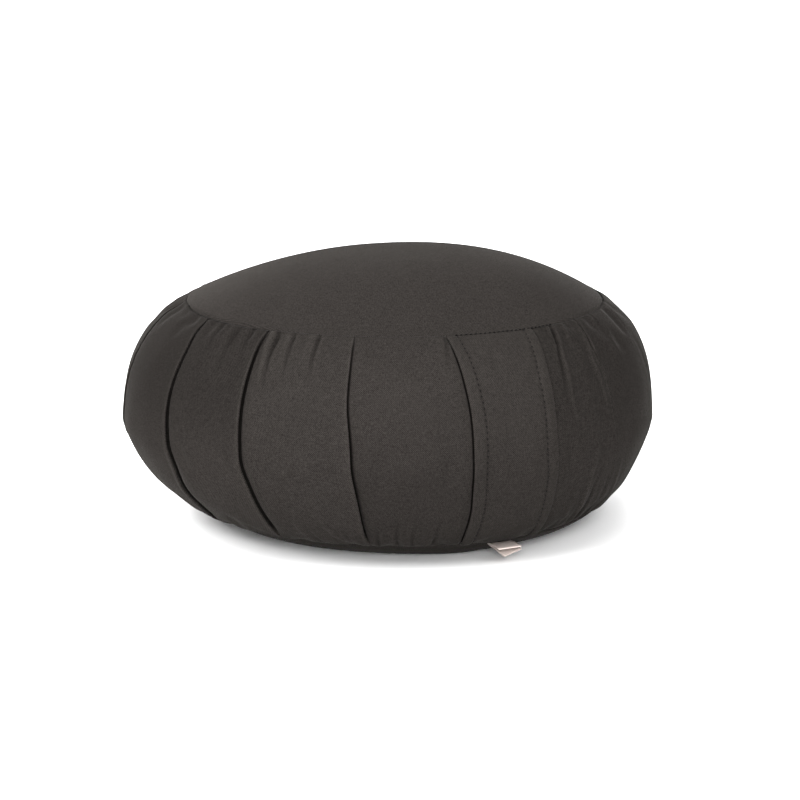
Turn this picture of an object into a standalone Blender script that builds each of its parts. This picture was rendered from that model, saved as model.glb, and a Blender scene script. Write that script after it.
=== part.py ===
"""Zafu meditation cushion: a round, filled floor cushion with a pleated side.

The pieces are the ones a maker would cut and sew: the pleated side band with
what fills it, a crowned round panel on top, a round panel below, a closure
panel with two hemmed edges over the side, and a folded ribbon tab in the
bottom seam. Units are metres, +Z is up, the origin is on the floor under the
middle, and the front faces -Y. Angles run round the cushion in degrees, from
0 at the front to +90 at +X.
"""

import math
from collections import namedtuple

import bmesh
import bpy
import numpy as np

MM = 0.001
COLLECTION = "Zafu cushion"
CLOTH_COLOUR = (0.052, 0.047, 0.043)
CLOTH_ROUGHNESS = 0.85
RIBBON_COLOUR = (0.42, 0.37, 0.33)
RIBBON_ROUGHNESS = 0.6

# Overall shape
HEIGHT = 164.7 * MM
BELLY_RADIUS = 164.4 * MM
BELLY_HEIGHT = 66.5 * MM
TOP_SEAM_RADIUS = 129.2 * MM
TOP_SEAM_HEIGHT = 135.1 * MM
BOTTOM_SEAM_RADIUS = 125.1 * MM
BOTTOM_SEAM_HEIGHT = 9.8 * MM
CROWN_POWER = 2.33

# Handles of the side's outline, which runs through the belly between the seams
SHOULDER_PULL = 0.40
SHOULDER_SLOPE = 26.6
SHOULDER_REACH = 30.2 * MM
FLANK_PULL = 0.25
FLANK_SLOPE = 17.9
FLANK_REACH = 24.5 * MM

# The filling lies a little to the right of the belly, and bulges more there
TOP_LEAN = 4.6 * MM
BOTTOM_LEAN = 9.6 * MM
LEAN_POWER = 1.5
BELLY_RISE_RIGHT = 1.3 * MM
CROWN_RISE_RIGHT = 4.0 * MM
FLANK_PULL_RIGHT = -0.063
FLANK_SLOPE_RIGHT = 8.2

# Where the bottom panel meets the floor
REST_RADIUS = 104.5 * MM
REST_SWELL = 4.5 * MM
REST_SWELL_ANGLE = 16.0
REST_SWELL_WIDTH = 13.0
KNEE_INWARD = 0.45
KNEE_HEIGHT = 0.22

# Cloth thicknesses and clearances
PANEL_SHEET = 2.0 * MM
FLAP_SHEET = 1.8 * MM
RIBBON_SHEET = 1.0 * MM
GAP = 0.4 * MM
SEAM_GAP = 0.65 * MM
SEAM_ROLL = 0.8 * MM

# The closure panel stands this proud of its neighbours at the belly
FLAP_PROUD = 1.2 * MM
FLAP_START = 0.004
HEM_WIDTH = 8.0 * MM

# Fold lines round the side. Each place is an angle in degrees at one of the
# STATIONS, which are shares of the way down from the top seam to the bottom
# seam. lip is how strongly the pleat opens.
STATIONS = (0.0, 0.2, 0.45, 0.7, 1.0)
OPENNESS_POWER = 0.6
Fold = namedtuple("Fold", "kind top upper middle lower bottom lip")
FOLDS = (
    Fold("pleat", -86.0, -82.0, -80.0, -79.0, -80.0, 1.0),
    Fold("pleat", -58.0, -53.2, -51.6, -49.3, -49.0, 1.0),
    Fold("pleat", -34.3, -31.9, -30.7, -29.8, -31.0, 1.1),
    Fold("pleat", -10.2, -8.7, -7.3, -6.5, -7.6, 0.9),
    Fold("flap_front", 13.5, 15.4, 17.2, 16.3, 14.7, 1.0),
    Fold("flap_back", 37.5, 35.2, 36.2, 37.4, 37.0, 1.0),
    Fold("pleat", 56.3, 54.9, 54.5, 56.5, 60.0, 0.6),
    Fold("pleat", 80.0, 80.5, 81.0, 82.0, 84.0, 0.8),
    Fold("pleat", 102.0, 103.5, 104.0, 104.5, 106.0, 1.0),
    Fold("pleat", 124.5, 125.0, 126.5, 126.0, 125.0, 0.9),
    Fold("pleat", 146.0, 147.5, 148.0, 149.5, 151.0, 1.1),
    Fold("pleat", 169.0, 169.5, 170.5, 170.0, 172.0, 0.9),
    Fold("pleat", 190.0, 192.0, 192.5, 193.5, 193.0, 1.0),
    Fold("pleat", 213.0, 213.5, 215.0, 215.5, 217.0, 1.1),
    Fold("pleat", 235.0, 236.5, 237.0, 237.0, 236.0, 0.9),
    Fold("pleat", 257.0, 258.0, 259.5, 259.0, 260.0, 1.0),
)

# Columns of the surface beside a pleat, in mm along the side and out from it.
# The seam columns hold where the pleat is sewn flat, the belly columns where
# it stands open. A negative shift lies to the left, on the overlapping side.
Crease = namedtuple("Crease", "seam_shift seam_rise belly_shift belly_rise")
PLEAT_LEFT = (
    Crease(-12.0, 0.0, -12.0, 0.5),
    Crease(-4.0, 0.0, -4.5, 1.1),
    Crease(-1.2, 0.3, -1.3, 1.0),
    Crease(-0.3, 0.2, 0.0, -0.2),
    Crease(0.0, -0.2, -0.9, -1.4),
    Crease(0.3, -0.6, -2.6, -3.2),
)
PLEAT_RIGHT = (
    Crease(0.8, -0.4, 0.9, -2.3),
    Crease(3.5, -0.1, 3.5, -1.3),
    Crease(10.0, 0.0, 10.0, -0.4),
)
FLAP_FRONT_LEFT = (
    Crease(-10.0, 0.0, -10.0, 0.0),
    Crease(-3.0, 0.0, -3.0, -0.3),
    Crease(-1.0, -0.3, -1.0, -0.8),
)
FLAP_BACK_RIGHT = (
    Crease(1.0, -0.3, 1.0, -0.7),
    Crease(3.5, 0.0, 3.5, -0.3),
    Crease(9.0, 0.0, 9.0, 0.0),
)
FLAP_EDGE_CLEARANCE = 0.5 * MM

# Short gathers in the cloth, caught in the top seam. panel counts the fold
# lines, from the pleat at the left rim, and across is the share of the way to
# the next fold line. length is the share of the side that a gather runs down.
Gather = namedtuple("Gather", "panel across length depth")
GATHERS = (
    Gather(2, 0.17, 0.24, 1.2),
    Gather(2, 0.375, 0.20, 0.9),
    Gather(2, 0.62, 0.16, 1.0),
    Gather(5, 0.33, 0.32, 1.2),
    Gather(6, 0.26, 0.30, 1.0),
    Gather(9, 0.30, 0.22, 1.0),
    Gather(11, 0.55, 0.25, 1.0),
    Gather(14, 0.40, 0.22, 1.0),
)
# Columns across one gather: share of the panel beside it, and rise in depths
GATHER_SECTION = ((-0.035, 0.0), (0.0, -1.0), (0.04, 0.7), (0.085, 0.0))
PLAIN_SHARES = (0.4, 0.6)
# A gather starts this strong at the seam, and the angle kept clear beside folds
GATHER_AT_SEAM = 0.35
GATHER_BUILD = 4.0
GATHER_FADE_POWER = 0.8
COLUMN_CLEARANCE = 0.3
SHARE_CLEARANCE = 0.03

# Rows of the side, as shares from the top seam down to the bottom seam
SIDE_ROWS = (
    0.0, 0.015, 0.045, 0.09, 0.15, 0.22, 0.30, 0.38, 0.46,
    0.54, 0.62, 0.70, 0.78, 0.86, 0.93, 0.98, 1.0,
)
FLAP_ROWS = (FLAP_START,) + SIDE_ROWS[1:-1] + (1.0 - FLAP_START,)

# Rings of the two round panels, and the fewer rings of the filling inside them
PANEL_COLUMNS = 72
CROWN_RINGS = (1.0, 0.95, 0.87, 0.76, 0.62, 0.45, 0.25)
FILLING_CROWN_RINGS = (1.0, 0.87, 0.62, 0.25)
DISH_RINGS = (0.0, 0.3, 0.65, 1.0)
FILLING_DISH_RINGS = (0.0, 0.65, 1.0)

# The ribbon tab: where its root lies in the bottom seam, how it turns
# away from straight out, and its two plies as distance out and height, in mm
RIBBON_ROOT_RADIUS = 125.1 * MM
RIBBON_ANGLE = 27.2
RIBBON_TURN = 6.0
RIBBON_WIDTH = 16.0 * MM
RIBBON_PATH = (
    (14.0, 9.3), (10.0, 9.5), (5.5, 9.4), (1.4, 9.2), (0.0, 8.75),
    (1.0, 7.9), (4.5, 6.7), (9.5, 4.9), (14.0, 3.4),
)


def hermite(places, values, place):
    """Smooth curve through values at places, read at one place."""
    last = len(places) - 2
    index = min(max(int(np.searchsorted(places, place)) - 1, 0), last)
    start, end = places[index], places[index + 1]
    span = end - start
    before = max(index - 1, 0)
    after = min(index + 2, last + 1)
    slope_start = (values[index + 1] - values[before]) / (end - places[before])
    slope_end = (values[after] - values[index]) / (places[after] - start)
    t = (place - start) / span
    rise = values[index + 1] - values[index]
    blend = t * t * (3.0 - 2.0 * t)
    left = span * slope_start * t * (1.0 - t) ** 2
    right = span * slope_end * t * t * (t - 1.0)
    return values[index] + rise * blend + left + right


def bezier(start, pull_start, pull_end, end, steps):
    """Points on a cubic curve in the radius and height plane."""
    t = np.linspace(0.0, 1.0, steps)[:, None]
    s = 1.0 - t
    return (
        s ** 3 * np.array(start)
        + 3.0 * s * s * t * np.array(pull_start)
        + 3.0 * s * t * t * np.array(pull_end)
        + t ** 3 * np.array(end)
    )


def towards_right(angle):
    """1 at +X, -1 at -X and 0 at the front and the back."""
    return math.sin(math.radians(angle))


def side_outline(angle, steps=40):
    """Shares, radii and heights of the side, from the top seam down."""
    right = towards_right(angle)
    belly_height = BELLY_HEIGHT + BELLY_RISE_RIGHT * right
    belly = (BELLY_RADIUS, belly_height)
    top = (TOP_SEAM_RADIUS, TOP_SEAM_HEIGHT)
    bottom = (BOTTOM_SEAM_RADIUS, BOTTOM_SEAM_HEIGHT)
    shoulder = math.radians(SHOULDER_SLOPE)
    flank = math.radians(FLANK_SLOPE + FLANK_SLOPE_RIGHT * right)
    flank_pull = FLANK_PULL + FLANK_PULL_RIGHT * right
    upper = bezier(
        top,
        (top[0] + SHOULDER_REACH * math.cos(shoulder), top[1] - SHOULDER_REACH * math.sin(shoulder)),
        (BELLY_RADIUS, belly_height + SHOULDER_PULL * (TOP_SEAM_HEIGHT - belly_height)),
        belly,
        steps,
    )
    lower = bezier(
        belly,
        (BELLY_RADIUS, belly_height - flank_pull * (belly_height - BOTTOM_SEAM_HEIGHT)),
        (bottom[0] + FLANK_REACH * math.cos(flank), bottom[1] + FLANK_REACH * math.sin(flank)),
        bottom,
        steps,
    )
    points = np.concatenate([upper, lower[1:]])
    lengths = np.concatenate([[0.0], np.cumsum(np.linalg.norm(np.diff(points, axis=0), axis=1))])
    return lengths / lengths[-1], points[:, 0], points[:, 1]


def lean(height):
    """How far the middle lies towards +X at this height: none at the belly."""
    if height > BELLY_HEIGHT:
        share = (height - BELLY_HEIGHT) / (TOP_SEAM_HEIGHT - BELLY_HEIGHT)
        return TOP_LEAN * min(share, 1.0) ** LEAN_POWER
    share = (BELLY_HEIGHT - height) / (BELLY_HEIGHT - BOTTOM_SEAM_HEIGHT)
    return BOTTOM_LEAN * min(share, 1.0) ** LEAN_POWER


def place(angle, radius, height, middle):
    """A point from its angle, radius and height about a middle on the X axis."""
    turn = math.radians(angle)
    return (middle + radius * math.sin(turn), -radius * math.cos(turn), height)


def side_point(angle, share, lift=0.0):
    """A point of the side, lifted outwards along the outline's normal."""
    shares, radii, heights = side_outline(angle)
    radius = float(np.interp(share, shares, radii))
    height = float(np.interp(share, shares, heights))
    step = 0.01
    before = max(share - step, 0.0)
    after = min(share + step, 1.0)
    along = np.array([
        np.interp(after, shares, radii) - np.interp(before, shares, radii),
        np.interp(after, shares, heights) - np.interp(before, shares, heights),
    ])
    along = along / np.linalg.norm(along)
    middle = lean(height)
    return place(angle, radius - along[1] * lift, height + along[0] * lift, middle)


def openness(share):
    """How far folds stand open: none at the seams, fully at the belly."""
    return math.sin(math.pi * min(max(share, 0.0), 1.0)) ** OPENNESS_POWER


def fold_angle(fold, share):
    """The angle of a fold line at a share of the way down the side."""
    places = (fold.top, fold.upper, fold.middle, fold.lower, fold.bottom)
    return hermite(STATIONS, places, share)


def flap_rise(share):
    """Height of the closure panel's face over the side."""
    return FLAP_PROUD * openness(share)


def flap_bed(share):
    """Height of the filled side under the closure panel."""
    return flap_rise(share) - FLAP_SHEET - GAP


def degrees_along(shift):
    """The angle that a distance along the side takes at the belly."""
    return math.degrees(shift / BELLY_RADIUS)


def crease_column(fold, crease):
    """The angle and lift, down the side, of one column beside a fold line."""
    column = []
    for share in SIDE_ROWS:
        opened = openness(share) * fold.lip
        shift = crease.seam_shift + (crease.belly_shift - crease.seam_shift) * min(opened, 1.0)
        rise = crease.seam_rise + (crease.belly_rise - crease.seam_rise) * opened
        angle = fold_angle(fold, share) + degrees_along(shift * MM)
        column.append((angle, rise * MM))
    return column


def bed_column(front, back, across, shift):
    """One column of the filled side under the closure panel."""
    column = []
    for share in SIDE_ROWS:
        start = fold_angle(front, share)
        end = fold_angle(back, share)
        column.append((start + (end - start) * across + degrees_along(shift), flap_bed(share)))
    return column


def gather_fade(share, length):
    """A gather is deepest just below the seam and dies out down the side."""
    if share >= length:
        return 0.0
    along = share / length
    return (1.0 - along) ** GATHER_FADE_POWER * min(1.0, GATHER_AT_SEAM + along * GATHER_BUILD)


def plain_column(fold, following, across, gather=None, rise=0.0):
    """One column between two fold lines, shaped by a gather if it crosses one."""
    column = []
    for share in SIDE_ROWS:
        start = fold_angle(fold, share)
        end = fold_angle(following, share)
        lift = 0.0
        if gather is not None:
            lift = gather.depth * rise * gather_fade(share, gather.length) * MM
        column.append((start + (end - start) * across, lift))
    return column


def panel_columns(index):
    """The columns from one fold line to the next."""
    fold = FOLDS[index]
    following = FOLDS[(index + 1) % len(FOLDS)]
    if index + 1 == len(FOLDS):
        turned = [value + 360.0 for value in following[1:6]]
        following = Fold(following.kind, *turned, following.lip)
    if fold.kind == "flap_front":
        shares = ((0.0, -FLAP_EDGE_CLEARANCE), (0.2, 0.0), (0.4, 0.0), (0.6, 0.0), (0.8, 0.0),
                  (1.0, FLAP_EDGE_CLEARANCE))
        return [bed_column(fold, following, across, shift) for across, shift in shares]
    right_of = {"pleat": PLEAT_RIGHT, "flap_back": FLAP_BACK_RIGHT}[fold.kind]
    left_of = {"pleat": PLEAT_LEFT, "flap_front": FLAP_FRONT_LEFT}[following.kind]
    columns = [crease_column(fold, crease) for crease in right_of]
    inner = [(across, None, 0.0) for across in PLAIN_SHARES]
    for gather in (item for item in GATHERS if item.panel == index):
        low = gather.across + GATHER_SECTION[0][0] - SHARE_CLEARANCE
        high = gather.across + GATHER_SECTION[-1][0] + SHARE_CLEARANCE
        inner = [item for item in inner if item[1] is not None or not low < item[0] < high]
        inner += [(gather.across + beside, gather, rise) for beside, rise in GATHER_SECTION]
    left_edge = degrees_along(right_of[-1].belly_shift * MM) + COLUMN_CLEARANCE
    right_edge = degrees_along(left_of[0].belly_shift * MM) - COLUMN_CLEARANCE
    width = following.middle - fold.middle
    for across, gather, rise in sorted(inner, key=lambda item: item[0]):
        if across * width > left_edge and (across - 1.0) * width < right_edge:
            columns.append(plain_column(fold, following, across, gather, rise))
    columns += [crease_column(following, crease) for crease in left_of]
    return columns


def crown_point(angle, ring, depth=0.0):
    """A point of the top panel's crown, or below it by depth along its normal."""
    right = towards_right(angle)
    rise = HEIGHT - TOP_SEAM_HEIGHT
    height = TOP_SEAM_HEIGHT + rise * (1.0 - ring ** CROWN_POWER)
    height += CROWN_RISE_RIGHT * right * ring * (1.0 - ring * ring)
    slope = -rise * CROWN_POWER * ring ** (CROWN_POWER - 1.0) / TOP_SEAM_RADIUS
    size = math.hypot(1.0, slope)
    radius = TOP_SEAM_RADIUS * ring + depth * slope / size
    return place(angle, radius, height - depth / size, TOP_LEAN)


def rest_radius(angle):
    """Radius at which the bottom panel meets the floor, wider at the front right."""
    away = (angle - REST_SWELL_ANGLE + 180.0) % 360.0 - 180.0
    return REST_RADIUS + REST_SWELL * math.exp(-(away / REST_SWELL_WIDTH) ** 2)


def dish_point(angle, ring, depth=0.0, inset=0.0):
    """A point of the bottom panel, from the seam at 0 to the floor at 1."""
    floor_radius = rest_radius(angle)
    knee_radius = BOTTOM_SEAM_RADIUS - KNEE_INWARD * (BOTTOM_SEAM_RADIUS - floor_radius)
    seam = np.array([BOTTOM_SEAM_RADIUS, BOTTOM_SEAM_HEIGHT])
    knee = np.array([knee_radius, KNEE_HEIGHT * BOTTOM_SEAM_HEIGHT])
    floor = np.array([floor_radius, 0.0])
    s = 1.0 - ring
    point = s * s * seam + 2.0 * s * ring * knee + ring * ring * floor
    along = 2.0 * s * (knee - seam) + 2.0 * ring * (floor - knee)
    along = along / np.linalg.norm(along)
    point = point + along * inset
    point = point + np.array([along[1], -along[0]]) * depth
    return place(angle, float(point[0]), float(point[1]), BOTTOM_LEAN)


def mesh_object(name, points, faces, colour, roughness):
    """A smooth-shaded mesh object with its own material."""
    mesh = bpy.data.meshes.new(name)
    mesh.from_pydata(points, [], faces)
    piece = bpy.data.objects.new(name, mesh)
    bpy.data.collections[COLLECTION].objects.link(piece)
    material = bpy.data.materials.new(name)
    material.use_nodes = True
    shader = material.node_tree.nodes["Principled BSDF"]
    shader.inputs["Base Color"].default_value = (*colour, 1.0)
    shader.inputs["Roughness"].default_value = roughness
    shader.inputs["Metallic"].default_value = 0.0
    mesh.materials.append(material)
    return piece


def point_faces_out(piece):
    """Turn every face of a mesh to the outside and shade it smooth."""
    work = bmesh.new()
    work.from_mesh(piece.data)
    bmesh.ops.recalc_face_normals(work, faces=work.faces)
    work.to_mesh(piece.data)
    work.free()
    piece.data.shade_smooth()
    piece.data.set_sharp_from_angle(angle=math.radians(40.0))


def ring_faces(rings, columns):
    """Quads between closed rings that follow each other in the point list."""
    faces = []
    for ring in range(rings - 1):
        for column in range(columns):
            beside = (column + 1) % columns
            low = ring * columns
            high = low + columns
            faces.append((low + column, low + beside, high + beside, high + column))
    return faces


def fan_faces(start, columns, tip, flip=False):
    """Triangles from one closed ring to a point."""
    faces = []
    for column in range(columns):
        beside = (column + 1) % columns
        face = (start + column, start + beside, tip)
        faces.append(face[::-1] if flip else face)
    return faces


def make_cushion_body():
    """The pleated side band and its filling, as one closed solid."""
    columns = []
    for index in range(len(FOLDS)):
        columns += panel_columns(index)
    angles = [column[-1][0] for column in columns]
    seam_angles = [column[0][0] for column in columns]
    inside = PANEL_SHEET + GAP
    rings = [[crown_point(angle, ring, inside) for angle in seam_angles]
             for ring in reversed(FILLING_CROWN_RINGS)]
    for row, share in enumerate(SIDE_ROWS):
        ring = []
        at_seam = row in (0, len(SIDE_ROWS) - 1)
        for column in columns:
            angle, lift = column[row]
            if at_seam:
                lift = min(lift, -SEAM_ROLL)
            ring.append(side_point(angle, share, lift))
        rings.append(ring)
    rings += [[dish_point(angle, ring, inside) for angle in angles] for ring in FILLING_DISH_RINGS]
    count = len(columns)
    points = [point for ring in rings for point in ring]
    faces = ring_faces(len(rings), count)
    points.append(crown_point(0.0, 0.0, inside))
    faces += fan_faces(0, count, len(points) - 1, flip=True)
    points.append((BOTTOM_LEAN, 0.0, inside))
    faces += fan_faces((len(rings) - 1) * count, count, len(points) - 1)
    piece = mesh_object("cushion_body", points, faces, CLOTH_COLOUR, CLOTH_ROUGHNESS)
    point_faces_out(piece)
    return piece


def add_sheet_thickness(piece, thickness):
    """Give an open surface its cloth thickness, inwards from its face."""
    solidify = piece.modifiers.new("Cloth thickness", "SOLIDIFY")
    solidify.thickness = thickness
    solidify.offset = -1.0
    solidify.use_rim = True
    return solidify


def make_round_panel(name, ring_points, tip):
    """A round sheet from rings of points, rim first, closed at a tip."""
    count = PANEL_COLUMNS
    points = [point for ring in ring_points for point in ring]
    faces = ring_faces(len(ring_points), count)
    points.append(tip)
    faces += fan_faces((len(ring_points) - 1) * count, count, len(points) - 1)
    piece = mesh_object(name, points, faces, CLOTH_COLOUR, CLOTH_ROUGHNESS)
    piece.data.shade_smooth()
    add_sheet_thickness(piece, PANEL_SHEET)
    return piece


def make_top_panel():
    """The crowned round sheet on top, cut just inside the top seam."""
    angles = [360.0 * step / PANEL_COLUMNS for step in range(PANEL_COLUMNS)]
    rim = 1.0 - SEAM_GAP / TOP_SEAM_RADIUS
    rings = [[crown_point(angle, min(ring, rim)) for angle in angles] for ring in CROWN_RINGS]
    return make_round_panel("top_panel", rings, crown_point(0.0, 0.0))


def make_bottom_panel():
    """The round sheet below, dished at its rim and flat on the floor."""
    angles = [-360.0 * step / PANEL_COLUMNS for step in range(PANEL_COLUMNS)]
    rings = []
    for ring in DISH_RINGS:
        inset = SEAM_GAP if ring == 0.0 else 0.0
        rings.append([dish_point(angle, ring, 0.0, inset) for angle in angles])
    return make_round_panel("bottom_panel", rings, (BOTTOM_LEAN, 0.0, 0.0))


def make_closure_flap():
    """The hemmed closure panel, draped over the side from seam to seam."""
    front = next(fold for fold in FOLDS if fold.kind == "flap_front")
    back = next(fold for fold in FOLDS if fold.kind == "flap_back")
    hem = HEM_WIDTH
    places = ((0.0, 0.0), (0.0, 0.35 * hem), (0.0, hem), (0.4, 0.0), (0.6, 0.0),
              (1.0, -hem), (1.0, -0.35 * hem), (1.0, 0.0))
    points = []
    for share in FLAP_ROWS:
        start = fold_angle(front, share)
        end = fold_angle(back, share)
        for across, shift in places:
            angle = start + (end - start) * across + degrees_along(shift)
            points.append(side_point(angle, share, flap_rise(share)))
    width = len(places)
    faces = []
    for row in range(len(FLAP_ROWS) - 1):
        for column in range(width - 1):
            low = row * width + column
            faces.append((low, low + width, low + width + 1, low + 1))
    piece = mesh_object("closure_flap", points, faces, CLOTH_COLOUR, CLOTH_ROUGHNESS)
    piece.data.shade_smooth()
    add_sheet_thickness(piece, FLAP_SHEET)
    return piece


def make_label():
    """The folded ribbon tab: two plies that spread from one root in the seam."""
    root = place(RIBBON_ANGLE, RIBBON_ROOT_RADIUS, 0.0, BOTTOM_LEAN)
    turn = math.radians(RIBBON_ANGLE)
    out_turn = math.radians(RIBBON_ANGLE + RIBBON_TURN)
    along = (math.cos(turn), math.sin(turn))
    out = (math.sin(out_turn), -math.cos(out_turn))
    points = []
    for distance, height in RIBBON_PATH:
        for side in (-0.5, 0.0, 0.5):
            points.append((
                root[0] + along[0] * RIBBON_WIDTH * side + out[0] * distance * MM,
                root[1] + along[1] * RIBBON_WIDTH * side + out[1] * distance * MM,
                height * MM,
            ))
    faces = []
    for row in range(len(RIBBON_PATH) - 1):
        for column in range(2):
            low = row * 3 + column
            faces.append((low, low + 1, low + 4, low + 3))
    piece = mesh_object("label", points, faces, RIBBON_COLOUR, RIBBON_ROUGHNESS)
    solidify = add_sheet_thickness(piece, RIBBON_SHEET)
    solidify.offset = 0.0
    return piece


def main():
    for item in list(bpy.data.objects):
        bpy.data.objects.remove(item, do_unlink=True)
    collection = bpy.data.collections.new(COLLECTION)
    bpy.context.scene.collection.children.link(collection)
    make_cushion_body()
    make_top_panel()
    make_bottom_panel()
    make_closure_flap()
    make_label()


main()
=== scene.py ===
# Looks of the zafu meditation cushion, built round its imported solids.
# Lengths are metres unless a table says mm. Angles run round the cushion in
# degrees, 0 at the front (-Y) and +90 at +X. A share runs down the pleated side,
# 0 at the top seam and 1 at the bottom seam.

import math
from collections import namedtuple

import bpy
import numpy as np
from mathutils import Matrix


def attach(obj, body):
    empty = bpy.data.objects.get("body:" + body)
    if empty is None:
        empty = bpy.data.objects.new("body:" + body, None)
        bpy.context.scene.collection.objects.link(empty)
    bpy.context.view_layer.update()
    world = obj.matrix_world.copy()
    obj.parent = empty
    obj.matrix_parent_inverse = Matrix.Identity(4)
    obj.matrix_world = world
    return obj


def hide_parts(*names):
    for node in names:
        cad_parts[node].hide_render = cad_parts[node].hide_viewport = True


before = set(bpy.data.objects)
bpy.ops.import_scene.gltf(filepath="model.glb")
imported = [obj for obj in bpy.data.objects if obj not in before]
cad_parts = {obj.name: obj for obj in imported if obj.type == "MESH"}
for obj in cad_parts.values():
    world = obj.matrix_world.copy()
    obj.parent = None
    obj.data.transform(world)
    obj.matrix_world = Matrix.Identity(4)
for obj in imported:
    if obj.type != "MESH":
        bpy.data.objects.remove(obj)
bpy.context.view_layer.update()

MM = 0.001

# Camera, as the photograph was taken. The pixels are in its 800 by 800 frame.
PHOTO_SIZE = 800
CAMERA_DISTANCE = 1.5
CAMERA_ELEVATION = 12.11
FOCAL_PIXELS = 2394.8
MIDDLE_PIXEL = (387.25, 379.6)
SENSOR_MM = 36.0
CLIP_NEAR = 0.05
CLIP_FAR = 200.0

# Overall shape, as in the solids
HEIGHT = 164.7 * MM
BELLY_RADIUS = 164.4 * MM
BELLY_HEIGHT = 66.5 * MM
TOP_SEAM_RADIUS = 129.2 * MM
TOP_SEAM_HEIGHT = 135.1 * MM
BOTTOM_SEAM_RADIUS = 125.1 * MM
BOTTOM_SEAM_HEIGHT = 9.8 * MM
CROWN_POWER = 2.42
SHOULDER_PULL = 0.40
SHOULDER_SLOPE = 26.6
SHOULDER_REACH = 30.2 * MM
FLANK_PULL = 0.25
FLANK_SLOPE = 17.9
FLANK_REACH = 24.5 * MM
TOP_LEAN = 4.6 * MM
BOTTOM_LEAN = 9.6 * MM
LEAN_POWER = 1.5
BELLY_RISE_RIGHT = 1.3 * MM
CROWN_RISE_RIGHT = 5.4 * MM
FLANK_PULL_RIGHT = -0.063
FLANK_SLOPE_RIGHT = 8.2
REST_RADIUS = 104.5 * MM
REST_SWELL = 4.5 * MM
REST_SWELL_ANGLE = 16.0
REST_SWELL_WIDTH = 13.0
KNEE_INWARD = 0.45
KNEE_HEIGHT = 0.22
SIDE_LENGTH = 154.3 * MM

# Cloth thicknesses and clearances
PANEL_SHEET = 1.4 * MM
FLAP_SHEET = 1.6 * MM
GAP = 0.5 * MM
SEAM_GAP = 0.3 * MM
FLAP_PROUD = 1.3 * MM
FLAP_CLEARANCE = 0.5 * MM
HEM_WIDTH = 7.9 * MM
PANEL_PUFF = 0.25 * MM

# Fold lines round the side, as angles at the stations down it, then how far
# their lips stand out, up there and low down
STATIONS = (0.0, 0.2, 0.45, 0.7, 1.0)
# Finer bends of the front folds, in degrees at these stations
BEND_STATIONS = (0.0, 0.15, 0.3, 0.45, 0.6, 0.75, 0.9, 1.0)
Fold = namedtuple("Fold", "kind top upper middle lower bottom lip low_lip bends", defaults=((),))
FOLDS = (
    Fold("pleat", -86.0, -82.0, -80.0, -79.0, -80.0, 0.25, 0.3),
    Fold("pleat", -58.0, -53.2, -51.6, -49.3, -49.0, 0.56, 0.90,
         (-0.6, -0.65, -1.2, -1.15, -1.25, -4.65, -5.95, -6.5)),
    Fold("pleat", -34.3, -31.9, -30.7, -29.8, -31.0, 0.85, 0.86,
         (-0.1, -0.7, -0.9, -0.65, -0.45, -0.85, -1.4, -1.55)),
    Fold("pleat", -10.2, -8.7, -7.3, -6.5, -7.6, 0.64, 0.88,
         (-0.1, -0.45, -0.75, -0.25, -0.35, -0.7, -1.0, -0.25)),
    Fold("flap_front", 13.5, 15.4, 17.2, 16.3, 14.7, 1.0, 1.0,
         (-0.6, -0.2, 0.05, 0.05, 0.5, 0.75, 0.1, 0.1)),
    Fold("flap_back", 37.5, 35.8, 36.2, 37.2, 37.0, 1.0, 1.0),
    Fold("pleat", 55.0, 53.0, 54.2, 56.5, 60.0, 0.55, 0.05),
    Fold("pleat", 80.0, 77.5, 80.0, 82.0, 84.0, 0.3, 0.3),
    Fold("pleat", 102.0, 103.5, 104.0, 104.5, 106.0, 0.9, 0.8),
    Fold("pleat", 124.5, 125.0, 126.5, 126.0, 125.0, 0.9, 0.9),
    Fold("pleat", 146.0, 147.5, 148.0, 149.5, 151.0, 1.1, 0.9),
    Fold("pleat", 169.0, 169.5, 170.5, 170.0, 172.0, 0.8, 1.0),
    Fold("pleat", 190.0, 192.0, 192.5, 193.5, 193.0, 1.0, 0.8),
    Fold("pleat", 213.0, 213.5, 215.0, 215.5, 217.0, 1.1, 1.0),
    Fold("pleat", 235.0, 236.5, 237.0, 237.0, 236.0, 0.8, 0.9),
    Fold("pleat", 257.0, 258.0, 259.5, 259.0, 260.0, 0.5, 0.7),
)
FLAP_FRONT = next(fold for fold in FOLDS if fold.kind == "flap_front")
FLAP_BACK = next(fold for fold in FOLDS if fold.kind == "flap_back")
FLAP_PANEL = FOLDS.index(FLAP_FRONT)
LIP_FROM = 0.25
LIP_OVER = 0.3
TOP_TAPER = 0.075
BOTTOM_TAPER = 0.03
FOLD_END = 0.935
FOLD_TAPER = 0.06
FOLD_END_POWER = 0.6

# Sections across a fold line in mm, each point the shift along the side and the
# rise out of it where the fold is sewn flat at a seam, then where it stands open
PLEAT_LEFT = (
    (-15.0, 0.0, -15.0, 0.10), (-9.0, 0.0, -9.0, 0.15), (-5.5, 0.0, -5.5, 0.20),
    (-3.4, 0.0, -3.5, 0.45), (-1.9, 0.05, -2.1, 0.78), (-1.0, 0.10, -1.1, 0.98),
    (-0.3, 0.05, -0.35, 0.86), (0.0, -0.05, 0.0, 0.25), (0.1, -0.12, -0.35, -0.55),
    (0.2, -0.18, -1.6, -1.20), (0.3, -0.22, -3.2, -2.30), (0.35, -0.24, -3.6, -3.80),
)
PLEAT_RIGHT = (
    (0.45, -0.24, -2.2, -4.80), (0.6, -0.22, -0.5, -4.20), (0.9, -0.16, 0.65, -2.70),
    (1.4, -0.08, 1.5, -1.80), (4.5, 0.0, 4.5, -1.15), (9.0, 0.0, 9.0, -0.55),
    (15.0, 0.0, 15.0, -0.20),
)
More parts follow.
